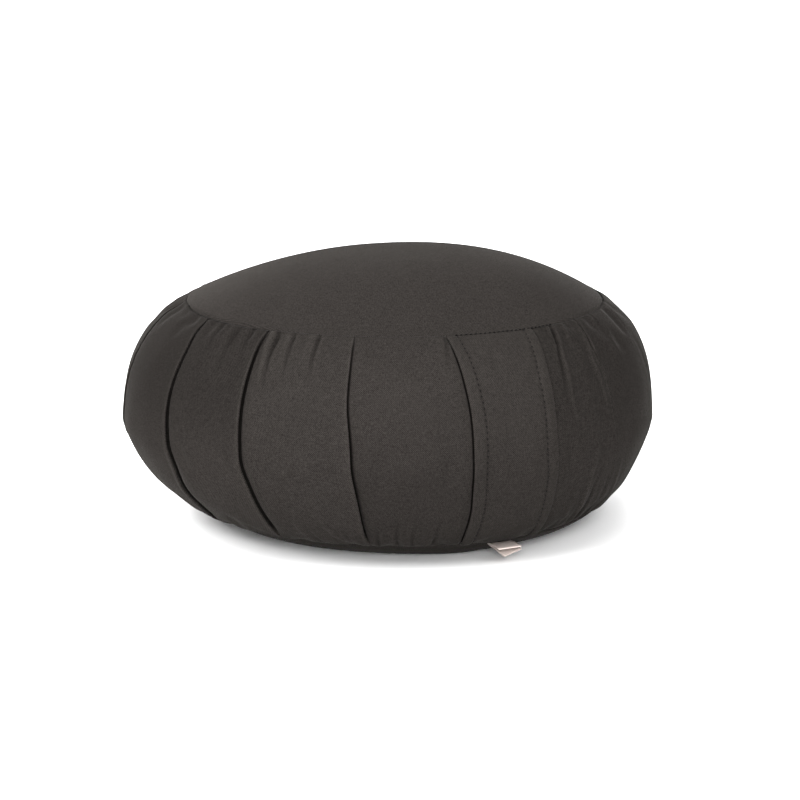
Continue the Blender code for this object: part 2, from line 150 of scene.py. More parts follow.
FLAP_FRONT_LEFT = (
    (-14.0, 0.0, -14.0, 0.0), (-7.0, 0.0, -7.0, 0.0), (-3.5, 0.0, -3.5, -0.10),
    (-1.8, -0.1, -1.9, -0.25), (-0.9, -0.2, -0.75, -0.50), (-0.5, -0.3, -0.40, -1.60),
    (-0.4, -0.5, -0.32, -3.40),
)
# The filled side under the closure panel's front edge
FLAP_SLOT = ((-0.2, -0.9, -0.1, -3.60), (0.5, -1.2, 0.9, -3.30), (1.6, -1.9, 2.2, -2.20))
FLAP_BACK_RIGHT = (
    (1.0, -0.3, 1.0, -0.95), (1.8, -0.1, 1.8, -0.60), (3.5, 0.0, 3.5, -0.35),
    (7.0, 0.0, 7.0, -0.10), (13.0, 0.0, 13.0, 0.0),
)
BEFORE_FOLD = {"pleat": PLEAT_LEFT, "flap_front": FLAP_FRONT_LEFT}
AFTER_FOLD = {"pleat": PLEAT_RIGHT, "flap_back": FLAP_BACK_RIGHT}
BED_START = 4.0 * MM
BED_POINTS = 6

# How fine the side's surface is: between columns at the front, at the back and
# under the closure panel. A narrow span has two columns or more.
FRONT_FROM = -62.0
FRONT_TO = 72.0
FRONT_SPACING = 1.0 * MM
BACK_SPACING = 2.5 * MM
HIDDEN_SPACING = 5.5 * MM
NARROW_SPAN = 3.0 * MM
SIDE_ROWS = 89
ROW_CROWDING = 0.55


def mix(start, end, share):
    """Straight blend from start to end."""
    return start + (end - start) * share


def ease(share):
    """Smooth change from 0 to 1."""
    t = np.clip(share, 0.0, 1.0)
    return t * t * (3.0 - 2.0 * t)


def bell(distance):
    """A smooth bump, 1 at no distance and soon 0 on both sides."""
    return np.exp(-distance ** 2)


def wrapped(angle):
    """An angle brought between -180 and 180."""
    return (angle + 180.0) % 360.0 - 180.0


def read_pairs(pairs, where):
    """The second value of a table of pairs, read between its rows."""
    places, values = zip(*pairs)
    return np.interp(where, places, values)


def smooth_through(places, values, where):
    """Smooth curve through values at places, read at every point of where."""
    places = np.array(places)
    values = np.array(values)
    index = np.clip(np.searchsorted(places, where) - 1, 0, len(places) - 2)
    before = np.maximum(index - 1, 0)
    after = np.minimum(index + 2, len(places) - 1)
    span = places[index + 1] - places[index]
    slope_start = (values[index + 1] - values[before]) / (places[index + 1] - places[before])
    slope_end = (values[after] - values[index]) / (places[after] - places[index])
    t = (where - places[index]) / span
    left = span * slope_start * t * (1.0 - t) ** 2
    right = span * slope_end * t * t * (t - 1.0)
    return mix(values[index], values[index + 1], t * t * (3.0 - 2.0 * t)) + left + right


def catmull(before, start, end, after, t):
    """A point between start and end of a smooth curve through four guides."""
    return 0.5 * (
        2.0 * start
        + (end - before) * t
        + (2.0 * before - 5.0 * start + 4.0 * end - after) * t * t
        + (3.0 * start - before - 3.0 * end + after) * t ** 3
    )


def bezier(start, pull_start, pull_end, end, t):
    """Points on a cubic curve; each corner is a pair of numbers."""
    s = 1.0 - t
    weights = (s ** 3, 3.0 * s * s * t, 3.0 * s * t * t, t ** 3)
    corners = (start, pull_start, pull_end, end)
    return [sum(weight * corner[axis] for weight, corner in zip(weights, corners))
            for axis in (0, 1)]


def make_camera():
    """The photograph's camera: long lens, looking slightly down at the front."""
    data = bpy.data.cameras.new("camera")
    data.sensor_width = SENSOR_MM
    data.lens = SENSOR_MM * FOCAL_PIXELS / PHOTO_SIZE
    half = PHOTO_SIZE / 2
    data.shift_x = (half - MIDDLE_PIXEL[0]) / PHOTO_SIZE
    data.shift_y = (MIDDLE_PIXEL[1] - half) / PHOTO_SIZE
    data.clip_start = CLIP_NEAR
    data.clip_end = CLIP_FAR
    camera = bpy.data.objects.new("camera", data)
    tilt = math.radians(CAMERA_ELEVATION)
    camera.location = (
        0.0,
        -CAMERA_DISTANCE * math.cos(tilt),
        HEIGHT / 2 + CAMERA_DISTANCE * math.sin(tilt),
    )
    camera.rotation_euler = (math.pi / 2 - tilt, 0.0, 0.0)
    bpy.context.scene.collection.objects.link(camera)
    bpy.context.scene.camera = camera


class SideOutline:
    """The side's radius, height and normal for any angle and share."""

    TURNS = 41
    SHARES = 401
    CURVE_POINTS = 160

    def __init__(self):
        self.shares = np.linspace(0.0, 1.0, self.SHARES)
        tables = [self.profile(turn) for turn in np.linspace(-1.0, 1.0, self.TURNS)]
        self.radius = np.array([table[0] for table in tables])
        self.height = np.array([table[1] for table in tables])
        along_radius = np.gradient(self.radius, axis=1)
        along_height = np.gradient(self.height, axis=1)
        size = np.hypot(along_radius, along_height)
        self.out_radius = -along_height / size
        self.out_height = along_radius / size

    def profile(self, turn):
        """Radius and height at even shares, where turn is 1 at +X and -1 at -X."""
        t = np.linspace(0.0, 1.0, self.CURVE_POINTS)
        belly_height = BELLY_HEIGHT + BELLY_RISE_RIGHT * turn
        shoulder = math.radians(SHOULDER_SLOPE)
        flank = math.radians(FLANK_SLOPE + FLANK_SLOPE_RIGHT * turn)
        pull = FLANK_PULL + FLANK_PULL_RIGHT * turn
        belly = (BELLY_RADIUS, belly_height)
        upper = bezier(
            (TOP_SEAM_RADIUS, TOP_SEAM_HEIGHT),
            (TOP_SEAM_RADIUS + SHOULDER_REACH * math.cos(shoulder),
             TOP_SEAM_HEIGHT - SHOULDER_REACH * math.sin(shoulder)),
            (BELLY_RADIUS, mix(belly_height, TOP_SEAM_HEIGHT, SHOULDER_PULL)),
            belly,
            t,
        )
        lower = bezier(
            belly,
            (BELLY_RADIUS, mix(belly_height, BOTTOM_SEAM_HEIGHT, pull)),
            (BOTTOM_SEAM_RADIUS + FLANK_REACH * math.cos(flank),
             BOTTOM_SEAM_HEIGHT + FLANK_REACH * math.sin(flank)),
            (BOTTOM_SEAM_RADIUS, BOTTOM_SEAM_HEIGHT),
            t,
        )
        radii = np.concatenate([upper[0], lower[0][1:]])
        heights = np.concatenate([upper[1], lower[1][1:]])
        lengths = np.concatenate([[0.0], np.cumsum(np.hypot(np.diff(radii), np.diff(heights)))])
        lengths = lengths / lengths[-1]
        return np.interp(self.shares, lengths, radii), np.interp(self.shares, lengths, heights)

    def read(self, table, turn, share):
        """A value from one of the tables, blended between its neighbours."""
        across = (turn + 1.0) * 0.5 * (self.TURNS - 1)
        along = np.clip(share, 0.0, 1.0) * (self.SHARES - 1)
        row = np.clip(np.floor(across).astype(int), 0, self.TURNS - 2)
        column = np.clip(np.floor(along).astype(int), 0, self.SHARES - 2)
        along = along - column
        low = mix(table[row, column], table[row, column + 1], along)
        high = mix(table[row + 1, column], table[row + 1, column + 1], along)
        return mix(low, high, across - row)


OUTLINE = SideOutline()


def lean(height):
    """How far the middle lies towards +X at this height: none at the belly."""
    above = np.clip((height - BELLY_HEIGHT) / (TOP_SEAM_HEIGHT - BELLY_HEIGHT), 0.0, 1.0)
    below = np.clip((BELLY_HEIGHT - height) / (BELLY_HEIGHT - BOTTOM_SEAM_HEIGHT), 0.0, 1.0)
    return TOP_LEAN * above ** LEAN_POWER + BOTTOM_LEAN * below ** LEAN_POWER


def place(angle, radius, height, middle):
    """Points from angles, radii and heights about a middle on the X axis."""
    turn = np.radians(angle)
    x = middle + radius * np.sin(turn)
    y = -radius * np.cos(turn)
    return np.stack(np.broadcast_arrays(x, y, height), axis=-1)


def side_points(angle, share, lift):
    """Points of the side, lifted outwards along the outline's normal."""
    angle, share, lift = np.broadcast_arrays(angle, share, lift)
    turn = np.sin(np.radians(angle))
    tables = (OUTLINE.radius, OUTLINE.height, OUTLINE.out_radius, OUTLINE.out_height)
    radius, height, out_radius, out_height = (OUTLINE.read(table, turn, share) for table in tables)
    return place(angle, radius + out_radius * lift, height + out_height * lift, lean(height))


def side_radius(angle, share):
    """Distance from the middle to the side."""
    return OUTLINE.read(OUTLINE.radius, np.sin(np.radians(angle)), share)


def offset_mm(angle, centre, radius):
    """Distance round the side from a line down it, in mm."""
    return np.radians(wrapped(angle - centre)) * radius / MM


def fold_angle(fold, share):
    """Angles of a fold line at shares of the way down the side."""
    angle = smooth_through(STATIONS, fold[1:6], share)
    if fold.bends:
        angle = angle + smooth_through(BEND_STATIONS, fold.bends, share)
    return angle


def openness(share):
    """How far folds stand open: none at the seams, soon fully further down."""
    top = 1.0 - np.exp(-np.clip(share, 0.0, 1.0) / TOP_TAPER)
    bottom = 1.0 - np.exp(-np.clip(1.0 - share, 0.0, 1.0) / BOTTOM_TAPER)
    return top * bottom


def fold_openness(share):
    """As openness, but closed a little above the bottom seam."""
    return openness(share) * np.clip((FOLD_END - share) / FOLD_TAPER, 0.0, 1.0) ** FOLD_END_POWER


def lip_at(fold, share):
    """How far a fold's lip stands out at shares down the side."""
    return mix(fold.lip, fold.low_lip, ease((share - LIP_FROM) / LIP_OVER))


def flap_rise(share):
    """Height of the closure panel's face over the side."""
    return FLAP_PROUD * openness(share)


def degrees_along(shift):
    """The angle that a distance along the side takes at the belly."""
    return np.degrees(shift / BELLY_RADIUS)


def row_shares(rows):
    """Shares of the rows of the side, closer together at both seams."""
    even = np.linspace(0.0, 1.0, rows)
    return even - ROW_CROWDING * np.sin(2.0 * np.pi * even) / (2.0 * np.pi)


def section_points(fold, sections, shares):
    """Angle and lift down the side for each point of a section beside a fold."""
    opened = fold_openness(shares) if fold.kind == "pleat" else openness(shares)
    opened = opened * lip_at(fold, shares)
    points = []
    for seam_shift, seam_rise, belly_shift, belly_rise in sections:
        shift = mix(seam_shift, belly_shift, np.minimum(opened, 1.0))
        rise = mix(seam_rise, belly_rise, opened)
        points.append((fold_angle(fold, shares) + degrees_along(shift * MM), rise * MM))
    return points


def next_fold(index):
    """The fold line after this one, with its angles carried past a full turn."""
    following = FOLDS[(index + 1) % len(FOLDS)]
    if index + 1 < len(FOLDS):
        return following
    return Fold(following.kind, *(angle + 360.0 for angle in following[1:6]), *following[6:])


def panel_guides(index, shares):
    """Guide points across one panel of the side, from a fold line to the next."""
    fold = FOLDS[index]
    following = next_fold(index)
    if fold.kind == "flap_front":
        start = fold_angle(fold, shares) + degrees_along(BED_START)
        end = fold_angle(following, shares) + degrees_along(FLAP_CLEARANCE)
        bed = flap_rise(shares) - FLAP_SHEET - GAP
        return section_points(fold, FLAP_SLOT, shares) + [
            (mix(start, end, share), bed) for share in np.linspace(0.0, 1.0, BED_POINTS)]
    first = section_points(fold, AFTER_FOLD[fold.kind], shares)
    last = section_points(following, BEFORE_FOLD[following.kind], shares)
    puff = PANEL_PUFF * openness(shares)
    inner = [(mix(first[-1][0], last[0][0], share), mix(first[-1][1], last[0][1], share) + puff)
             for share in (0.25, 0.5, 0.75)]
    return first + inner + last


def side_grid(shares):
    """Angles, lifts and panel numbers of the side, as rows by columns."""
    guides = []
    for index in range(len(FOLDS)):
        guides += [(index, angle, lift) for angle, lift in panel_guides(index, shares)]
    middle = len(shares) // 2
    angle_columns = []
    lift_columns = []
    panels = []
    for index, (panel, _, _) in enumerate(guides):
        around = []
        out = []
        for neighbour in range(index - 1, index + 3):
            turns, guide = divmod(neighbour, len(guides))
            around.append(guides[guide][1] + 360.0 * turns)
            out.append(guides[guide][2])
        length = math.radians(abs(around[2][middle] - around[1][middle])) * BELLY_RADIUS
        height = abs(out[2][middle] - out[1][middle])
        at_front = FRONT_FROM < wrapped(around[1][middle]) < FRONT_TO
        spacing = FRONT_SPACING if at_front else BACK_SPACING
        if panel == FLAP_PANEL and length > HIDDEN_SPACING:
            spacing = HIDDEN_SPACING
        fewest = 2 if length < NARROW_SPAN else 1
        steps = max(fewest, math.ceil(math.hypot(length, height) / spacing))
        for step in range(steps):
            angle_columns.append(catmull(*around, step / steps))
            lift_columns.append(catmull(*out, step / steps))
            panels.append(panel)
    return np.array(angle_columns).T, np.array(lift_columns).T, np.array(panels)


# Wrinkles of the side, by where they are strongest: a path of angles and shares,
# then how high in mm (a trough below 0) and how wide in mm
WRINKLES = {
    "top": (
        (((-50.3, 0.0), (-49.6, 0.03), (-47.0, 0.18)), -0.75, 2.1),
        (((-43.5, 0.0), (-43.0, 0.03), (-40.4, 0.24)), -0.85, 2.0),
        (((-39.2, 0.0), (-38.6, 0.03), (-35.8, 0.18)), -0.8, 1.8),
        (((-46.0, 0.0), (-43.0, 0.22)), 0.35, 1.5),
        (((-32.4, 0.0), (-31.6, 0.06), (-29.4, 0.24)), 1.4, 1.8),
        (((-31.0, 0.0), (-30.2, 0.04), (-27.5, 0.30)), -1.3, 1.2),
        (((-27.8, 0.0), (-26.0, 0.18)), 0.5, 1.6),
        (((-26.2, 0.0), (-25.6, 0.03), (-23.6, 0.24)), -1.1, 1.1),
        (((-21.2, 0.0), (-20.4, 0.16)), 0.5, 1.5),
        (((-19.3, 0.0), (-18.9, 0.04), (-18.3, 0.22)), -1.4, 1.1),
        (((12.6, 0.0), (12.6, 0.05), (11.8, 0.22)), -0.7, 1.1),
        (((44.0, 0.0), (42.6, 0.07), (40.6, 0.16), (39.4, 0.30)), -1.8, 1.1),
        (((48.0, 0.0), (46.6, 0.09), (46.0, 0.18)), 0.6, 1.4),
        (((49.8, 0.0), (48.8, 0.14)), -0.5, 1.1),
        (((54.8, 0.0), (52.4, 0.14), (53.0, 0.24), (54.0, 0.38)), -1.9, 0.9),
        (((61.8, 0.0), (60.0, 0.16), (60.6, 0.26)), 0.35, 1.5),
        (((63.8, 0.0), (61.8, 0.14), (62.2, 0.26)), -0.35, 1.0),
    ),
    "both": (
        (((43.6, 0.06), (41.6, 0.15), (41.0, 0.32), (42.0, 0.42)), 0.55, 1.5),
        (((52.2, 0.05), (50.6, 0.20), (51.4, 0.34), (53.0, 0.44)), 0.5, 1.4),
        (((78.4, 0.05), (74.5, 0.20), (73.2, 0.30)), -0.15, 1.8),
        (((66.5, 0.88), (67.5, 1.0)), 0.8, 7.0),
    ),
    "low": (
        (((48.6, 0.50), (48.0, 0.68), (48.4, 0.82), (48.6, 0.96)), 1.2, 1.6),
        (((51.5, 0.60), (50.6, 0.72), (50.8, 0.84), (51.2, 0.97)), -1.4, 1.5),
        (((59.0, 0.60), (62.0, 0.80), (63.5, 0.97)), 0.9, 2.2),
        (((55.5, 0.66), (56.5, 0.82), (57.5, 0.97)), -0.7, 2.0),
        (((44.6, 0.68), (44.0, 0.86), (43.8, 0.96)), 0.6, 1.5),
        (((-22.6, 0.74), (-23.4, 0.83), (-22.2, 0.94)), 0.8, 1.2),
        (((-20.2, 0.76), (-21.0, 0.85), (-20.4, 0.94)), -0.5, 1.2),
        (((-17.0, 0.76), (-16.2, 0.82), (-14.2, 0.93)), 0.8, 1.2),
        (((-12.8, 0.80), (-12.2, 0.94)), -0.5, 1.2),
        (((-3.6, 0.78), (-5.2, 0.86), (-6.0, 0.96)), -0.8, 1.1),
        (((0.8, 0.76), (-0.6, 0.86), (-1.4, 0.96)), -0.9, 1.1),
        (((4.6, 0.78), (3.0, 0.86), (2.4, 0.96)), -0.8, 1.0),
        (((10.4, 0.76), (8.6, 0.85), (7.6, 0.96)), -0.9, 1.1),
    ),
}
WRINKLE_FADE = 0.8
# The low banks on both sides of a wrinkle, in its own height and width
BANK_HEIGHT = 0.3
BANK_PLACE = 2.0
BANK_WIDTH = 1.1

# Wrinkles for the sides that the photograph doesn't show, of the same kind. They
# start at a seam, named as in Fold, at that share: how many, how far they sway in
# degrees, heights in mm and parts of them, shares of the far end, and widths in mm
HiddenKind = namedtuple("HiddenKind", "strongest seam share number sway heights parts ends widths")
HIDDEN_KINDS = (
    HiddenKind("top", "top", 0.0, (4, 8), 2.5, (-1.0, -0.8, 0.7), (0.5, 1.2), (0.14, 0.30), (0.9, 1.5)),
    HiddenKind("low", "bottom", 0.96, (2, 6), 2.0, (-0.8, 0.8), (0.6, 1.1), (0.74, 0.82), (1.0, 1.4)),
)
HIDDEN_SEED = 41
HIDDEN_FIRST = 8
HIDDEN_SPREAD = (0.12, 0.88)
# The last of those panels shows at the left of the view, and is smoother
HIDDEN_LAST = 0.45


def hidden_wrinkles():
    """The wrinkles of the panels that don't show, with where each is strongest."""
    chance = np.random.default_rng(HIDDEN_SEED)
    made = []
    for index in range(HIDDEN_FIRST, len(FOLDS)):
        strength = HIDDEN_LAST if index == len(FOLDS) - 1 else 1.0
        for kind in HIDDEN_KINDS:
            seams = [getattr(fold, kind.seam) for fold in (FOLDS[index], next_fold(index))]
            for across in np.sort(chance.uniform(*HIDDEN_SPREAD, chance.integers(*kind.number))):
                sewn = mix(*seams, across)
                free = sewn + chance.uniform(-kind.sway, kind.sway)
                height = strength * chance.choice(kind.heights) * chance.uniform(*kind.parts)
                path = sorted(((sewn, kind.share), (free, chance.uniform(*kind.ends))),
                              key=lambda end: end[1])
                made.append((kind.strongest, path, height, chance.uniform(*kind.widths)))
    return made


ALL_WRINKLES = [(strongest, *row) for strongest, rows in WRINKLES.items() for row in rows]
ALL_WRINKLES += hidden_wrinkles()


def wrinkle_lift(wrinkle, angle, share, radius):
    """The rise and fall that one wrinkle gives the side."""
    strongest, path, height, width = wrinkle
    angles, shares = zip(*path)
    t = (share - shares[0]) / (shares[-1] - shares[0])
    inside = np.clip(t, 0.0, 1.0)
    beside = offset_mm(angle, np.interp(share, shares, angles), radius) / width
    fades = {
        "top": (1.0 - inside) ** WRINKLE_FADE * ease(0.35 + inside * 4.0),
        "low": inside ** WRINKLE_FADE * ease(0.35 + (1.0 - inside) * 5.0),
        "both": np.sin(np.pi * inside) ** WRINKLE_FADE,
    }
    fade = np.where((t > 0.0) & (t < 1.0), fades[strongest], 0.0)
    banks = BANK_HEIGHT * bell((np.abs(beside) - BANK_PLACE) / BANK_WIDTH)
    return height * MM * fade * (bell(beside) - banks)


def all_wrinkles(angle, share):
    """The rise and fall of every wrinkle together."""
    radius = side_radius(angle, share)
    return sum(wrinkle_lift(wrinkle, angle, share, radius) for wrinkle in ALL_WRINKLES)


# Painted shade down in folds at depths in mm below the side, painted highlight on lips above it
SLOT_PAINTED_SHADE_AND_LIGHT = (
    (-5.0, 0.35), (-3.6, 0.40), (-2.6, 0.50), (-1.9, 0.80), (-1.3, 1.0), (0.0, 1.0),
    (0.12, 1.0), (0.3, 1.02), (0.5, 1.05), (0.9, 1.14),
)
# Painted shade in wrinkle troughs and painted highlight on their ridges, per mm, within these limits
WRINKLE_SHADE = 0.40
WRINKLE_SHADE_LIMITS = (0.5, 1.25)
# Painted light and shade on each panel, up at its shoulder and low down: mostly
# painted shade. The closure panel is the fifth, and the rest are like the last.
PANEL_PAINTED_SHADING = (
    (0.73, 1.0), (0.75, 1.05), (1.0, 1.01), (1.01, 0.90),
    (1.04, 0.95), (0.77, 0.86), (0.74, 0.84), (0.84, 0.92),
)
TONE_FROM = 0.3
TONE_OVER = 0.35
# Painted highlight along the rolled edges of the pleats, most where they are tight
PLEAT_PAINTED_HIGHLIGHT = 0.32
RIM_PLACE = -0.7
RIM_WIDTH = 0.6
RIM_START = 0.03
RIM_END = 0.55
RIM_OVER = 0.25


def painted_fold_shade(lift, wrinkles):
    """Share of lit colour kept: painted shade in folds and troughs, painted highlight on lips and ridges.
    """
    pulled = np.clip(1.0 + WRINKLE_SHADE * wrinkles / MM, *WRINKLE_SHADE_LIMITS)
    return read_pairs(SLOT_PAINTED_SHADE_AND_LIGHT, lift / MM) * pulled


def painted_pleat_highlight(lift, angle, share):
    """Painted highlight on the edges of the pleats: how much paler the cloth is there."""
    radius = side_radius(angle, share)
    paler = np.zeros_like(angle)
    for fold in FOLDS:
        if fold.kind == "pleat":
            beside = offset_mm(angle, fold_angle(fold, share), radius)
            paler += PLEAT_PAINTED_HIGHLIGHT * fold.lip * bell((beside - RIM_PLACE) / RIM_WIDTH) * (lift > 0.0)
    return 1.0 + paler * ease((RIM_END - share) / RIM_OVER) * ease(share / RIM_START)


def painted_panel_shading(panels, share):
    """Painted light and shade of a panel at shares down the side."""
    upper, lower = np.array(PANEL_PAINTED_SHADING)[np.minimum(panels, len(PANEL_PAINTED_SHADING) - 1)].T
    return mix(upper, lower, ease((share - TONE_FROM) / TONE_OVER))


# Where the filling stands out or draws in at both ends of the X axis: shares,
# then mm at the left and at the right
FULLNESS = (
    (0.0, 0.0, 0.0), (0.035, -0.9, -0.1), (0.09, 0.2, -0.3), (0.2, 0.7, -0.2),
    (0.33, 0.9, 0.1), (0.5, 0.5, 0.2), (0.62, 0.3, 0.4), (0.75, 0.1, 0.1),
    (0.84, -0.6, 0.0), (0.93, 0.6, -1.2), (1.0, 0.4, -0.8),
)


def fullness(angle, share):
    """How far the filling stands out at a place of the side."""
    shares, left, right = zip(*FULLNESS)
    turn = np.sin(np.radians(angle))
    leftward = np.clip(-turn, 0.0, 1.0) ** 2 * smooth_through(shares, left, share)
    rightward = np.clip(turn, 0.0, 1.0) ** 2 * smooth_through(shares, right, share)
    return (leftward + rightward) * MM


def side_relief(angle, share):
    """All wrinkles and the slow unevenness of the filling, as a few waves in mm."""
    turn = np.radians(angle)
    down = np.sin(np.pi * np.clip(share, 0.0, 1.0))
    slow = (
        0.35 * np.sin(3.0 * turn + 1.0) * np.sin(2.2 * np.pi * share + 0.6)
        + 0.25 * np.sin(7.0 * turn + 2.4 + 3.0 * share)
        + 0.18 * np.sin(16.0 * turn - 4.0 * share) * np.sin(np.pi * share)
        + 0.12 * np.sin(29.0 * turn + 9.0 * share + 0.7)
    )
    return all_wrinkles(angle, share) + fullness(angle, share) + slow * MM * down


def crown_points(angle, ring, depth=0.0):
    """Points of the top panel's crown, or below it by depth along its normal."""
    turn = np.sin(np.radians(angle))
    rise = HEIGHT - TOP_SEAM_HEIGHT
    height = TOP_SEAM_HEIGHT + rise * (1.0 - ring ** CROWN_POWER)
    height = height + CROWN_RISE_RIGHT * turn * ring * (1.0 - ring * ring)
    slope = -rise * CROWN_POWER * ring ** (CROWN_POWER - 1.0) / TOP_SEAM_RADIUS
    size = np.hypot(1.0, slope)
    radius = TOP_SEAM_RADIUS * ring + depth * slope / size
    return place(angle, radius, height - depth / size, TOP_LEAN)


def dish_points(angle, ring, depth=0.0, inset=0.0):
    """Points of the bottom panel, from the seam at ring 0 to the floor at ring 1."""
    away = wrapped(angle - REST_SWELL_ANGLE)
    floor_radius = REST_RADIUS + REST_SWELL * bell(away / REST_SWELL_WIDTH)
    knee_radius = BOTTOM_SEAM_RADIUS - KNEE_INWARD * (BOTTOM_SEAM_RADIUS - floor_radius)
    knee_height = KNEE_HEIGHT * BOTTOM_SEAM_HEIGHT
    s = 1.0 - ring
    radius = s * s * BOTTOM_SEAM_RADIUS + 2.0 * s * ring * knee_radius + ring * ring * floor_radius
    height = s * s * BOTTOM_SEAM_HEIGHT + 2.0 * s * ring * knee_height
    along_radius = 2.0 * s * (knee_radius - BOTTOM_SEAM_RADIUS)
    along_radius = along_radius + 2.0 * ring * (floor_radius - knee_radius)
    along_height = 2.0 * s * (knee_height - BOTTOM_SEAM_HEIGHT) - 2.0 * ring * knee_height
    size = np.hypot(along_radius, along_height)
    radius = radius + (along_radius * inset + along_height * depth) / size
    height = height + (along_height * inset - along_radius * depth) / size
    return place(angle, radius, height, BOTTOM_LEAN)


def new_piece(name, points, faces, material, cloth, shade=None):
    """A smooth mesh piece with its cloth places, and a shade that scales its colour: mostly painted shade
    and light.
    """
    mesh = bpy.data.meshes.new(name)
    mesh.from_pydata(np.asarray(points).reshape(-1, 3).tolist(), [], faces)
    mesh.shade_smooth()
    layer = mesh.attributes.new("cloth", "FLOAT_VECTOR", "POINT")
    layer.data.foreach_set("vector", np.asarray(cloth, dtype=np.float32).ravel())
    if shade is None:
        shade = np.ones(len(cloth))
    layer = mesh.attributes.new("shade", "FLOAT", "POINT")
    layer.data.foreach_set("value", np.asarray(shade, dtype=np.float32).ravel())
    mesh.materials.append(material)
    piece = bpy.data.objects.new(name, mesh)
    bpy.context.scene.collection.objects.link(piece)
    return piece


def ring_faces(rings, columns):
    """Quads between closed rings of points that follow each other."""
    row, column = np.meshgrid(np.arange(rings - 1), np.arange(columns), indexing="ij")
    beside = (column + 1) % columns
    low = row * columns
    high = low + columns
    quads = np.stack([low + column, high + column, high + beside, low + beside], axis=-1)
    return quads.reshape(-1, 4).tolist()


def closed_faces(rings, columns):
    """As ring_faces, closed by fans to two tips that follow the rings' points."""
    count = rings * columns
    faces = ring_faces(rings, columns)
    for start, tip, order in ((0, count, -1), (count - columns, count + 1, 1)):
        faces += [(start + column, tip, start + (column + 1) % columns)[::order]
                  for column in range(columns)]
    return faces


def capped_faces(rings, columns):
    """As ring_faces, closed by a flat face over the first ring and the last."""
    count = rings * columns
    caps = [list(range(columns)), list(range(count - columns, count))[::-1]]
    return ring_faces(rings, columns) + caps


# Cloth simulation of the cover over its filling: how fine its mesh is, how hard
# the filling presses, how much spare cloth there is, and the most it may move.
# A fold holds the cover down fully from this lip on.
SWELL_ROWS = 47
SWELL_COLUMNS = 10
SWELL_FRAMES = 20
SWELL_PRESSURE = 4.0
SWELL_SPARE = 0.004
SWELL_BENDING = 2.0
SWELL_CAP = 3.0 * MM
HELD_LIP = 0.5


def swell_grid():
    """Angles and shares of the coarse cover: even columns across each panel."""
    shares = np.linspace(0.0, 1.0, SWELL_ROWS)
    angles = []
    for index, fold in enumerate(FOLDS):
        start = fold_angle(fold, shares)
        end = fold_angle(next_fold(index), shares)
        angles += [mix(start, end, step / SWELL_COLUMNS) for step in range(SWELL_COLUMNS)]
    angles = np.array(angles).T
    return angles, np.broadcast_to(shares[:, None], angles.shape)


def held_weights(shares):
    """How firmly each point of the coarse cover is sewn down, between 0 and 1."""
    weights = np.zeros(shares.shape)
    for index, fold in enumerate(FOLDS):
        held = lip_at(fold, shares[:, 0]) / HELD_LIP
        weights[:, index * SWELL_COLUMNS] = np.clip(held, 0.0, 1.0)
    weights[[0, -1]] = 1.0
    return weights


def swell_cover():
    """Lets the cover's cloth swell between its folds; how far each point moved out."""
    angles, shares = swell_grid()
    start = side_points(angles, shares, 0.0)
    rows, columns = angles.shape
    tips = [(TOP_LEAN, 0.0, TOP_SEAM_HEIGHT), (BOTTOM_LEAN, 0.0, BOTTOM_SEAM_HEIGHT)]
    mesh = bpy.data.meshes.new("cover")
    mesh.from_pydata(start.reshape(-1, 3).tolist() + tips, [], closed_faces(rows, columns))
    cover = bpy.data.objects.new("cover", mesh)
    bpy.context.scene.collection.objects.link(cover)
    sewn = cover.vertex_groups.new(name="sewn")
    for index, weight in enumerate(held_weights(shares).ravel().tolist() + [1.0, 1.0]):
        if weight > 0.0:
            sewn.add([index], weight, "REPLACE")
    settings = cover.modifiers.new("cloth", "CLOTH").settings
    settings.vertex_group_mass = "sewn"
    settings.bending_stiffness = SWELL_BENDING
    settings.use_pressure = True
    settings.uniform_pressure_force = SWELL_PRESSURE
    settings.shrink_min = -SWELL_SPARE
    settings.effector_weights.gravity = 0.0
    for frame_number in range(1, SWELL_FRAMES + 1):
        bpy.context.scene.frame_set(frame_number)
    settled = cover.evaluated_get(bpy.context.evaluated_depsgraph_get()).to_mesh()
    moved = np.empty(len(settled.vertices) * 3)
    settled.vertices.foreach_get("co", moved)
    moved = moved.reshape(-1, 3)[:rows * columns].reshape(start.shape)
    outwards = (side_points(angles, shares, MM) - start) / MM
    swell = np.clip(((moved - start) * outwards).sum(axis=-1), -SWELL_CAP, SWELL_CAP)
    bpy.data.objects.remove(cover)
    bpy.data.meshes.remove(mesh)
    bpy.context.scene.frame_set(1)
    return swell - swell.mean(axis=1, keepdims=True)


SWELL = swell_cover()


def swell_at(panel, angle, share):
    """The swell at places of a panel, on a smooth surface through the coarse cover."""
    panel = np.broadcast_to(panel, angle.shape)
    ends = np.array([[fold_angle(fold, share[:, 0]), fold_angle(next_fold(index), share[:, 0])]
                     for index, fold in enumerate(FOLDS)])
    rows = np.arange(angle.shape[0])[:, None]
    start = ends[panel, 0, rows]
    end = ends[panel, 1, rows]
    across = (panel + (angle - start) / (end - start)) * SWELL_COLUMNS
    down = share * (SWELL_ROWS - 1)
    column = np.floor(across).astype(int)
    row = np.clip(np.floor(down).astype(int), 0, SWELL_ROWS - 2)
    lines = []
    for beside in (-1, 0, 1, 2):
        line_row = np.clip(row + beside, 0, SWELL_ROWS - 1)
        around = [SWELL[line_row, (column + offset) % SWELL.shape[1]] for offset in (-1, 0, 1, 2)]
        lines.append(catmull(*around, across - column))
    return catmull(*lines, down - row)


# How the edges turn down into a seam, and the painted shade on the cloth beside it
SEAM_ROLL = 1.0 * MM
SEAM_ROLL_WIDTH = 1.4 * MM
TOP_ROLL = 0.8 * MM
TOP_ROLL_WIDTH = 1.1 * MM
TOP_ROLL_INSIDE = 0.3
SEAM_SHADE = 0.55
SEAM_SHADE_WIDTH = 1.1 * MM
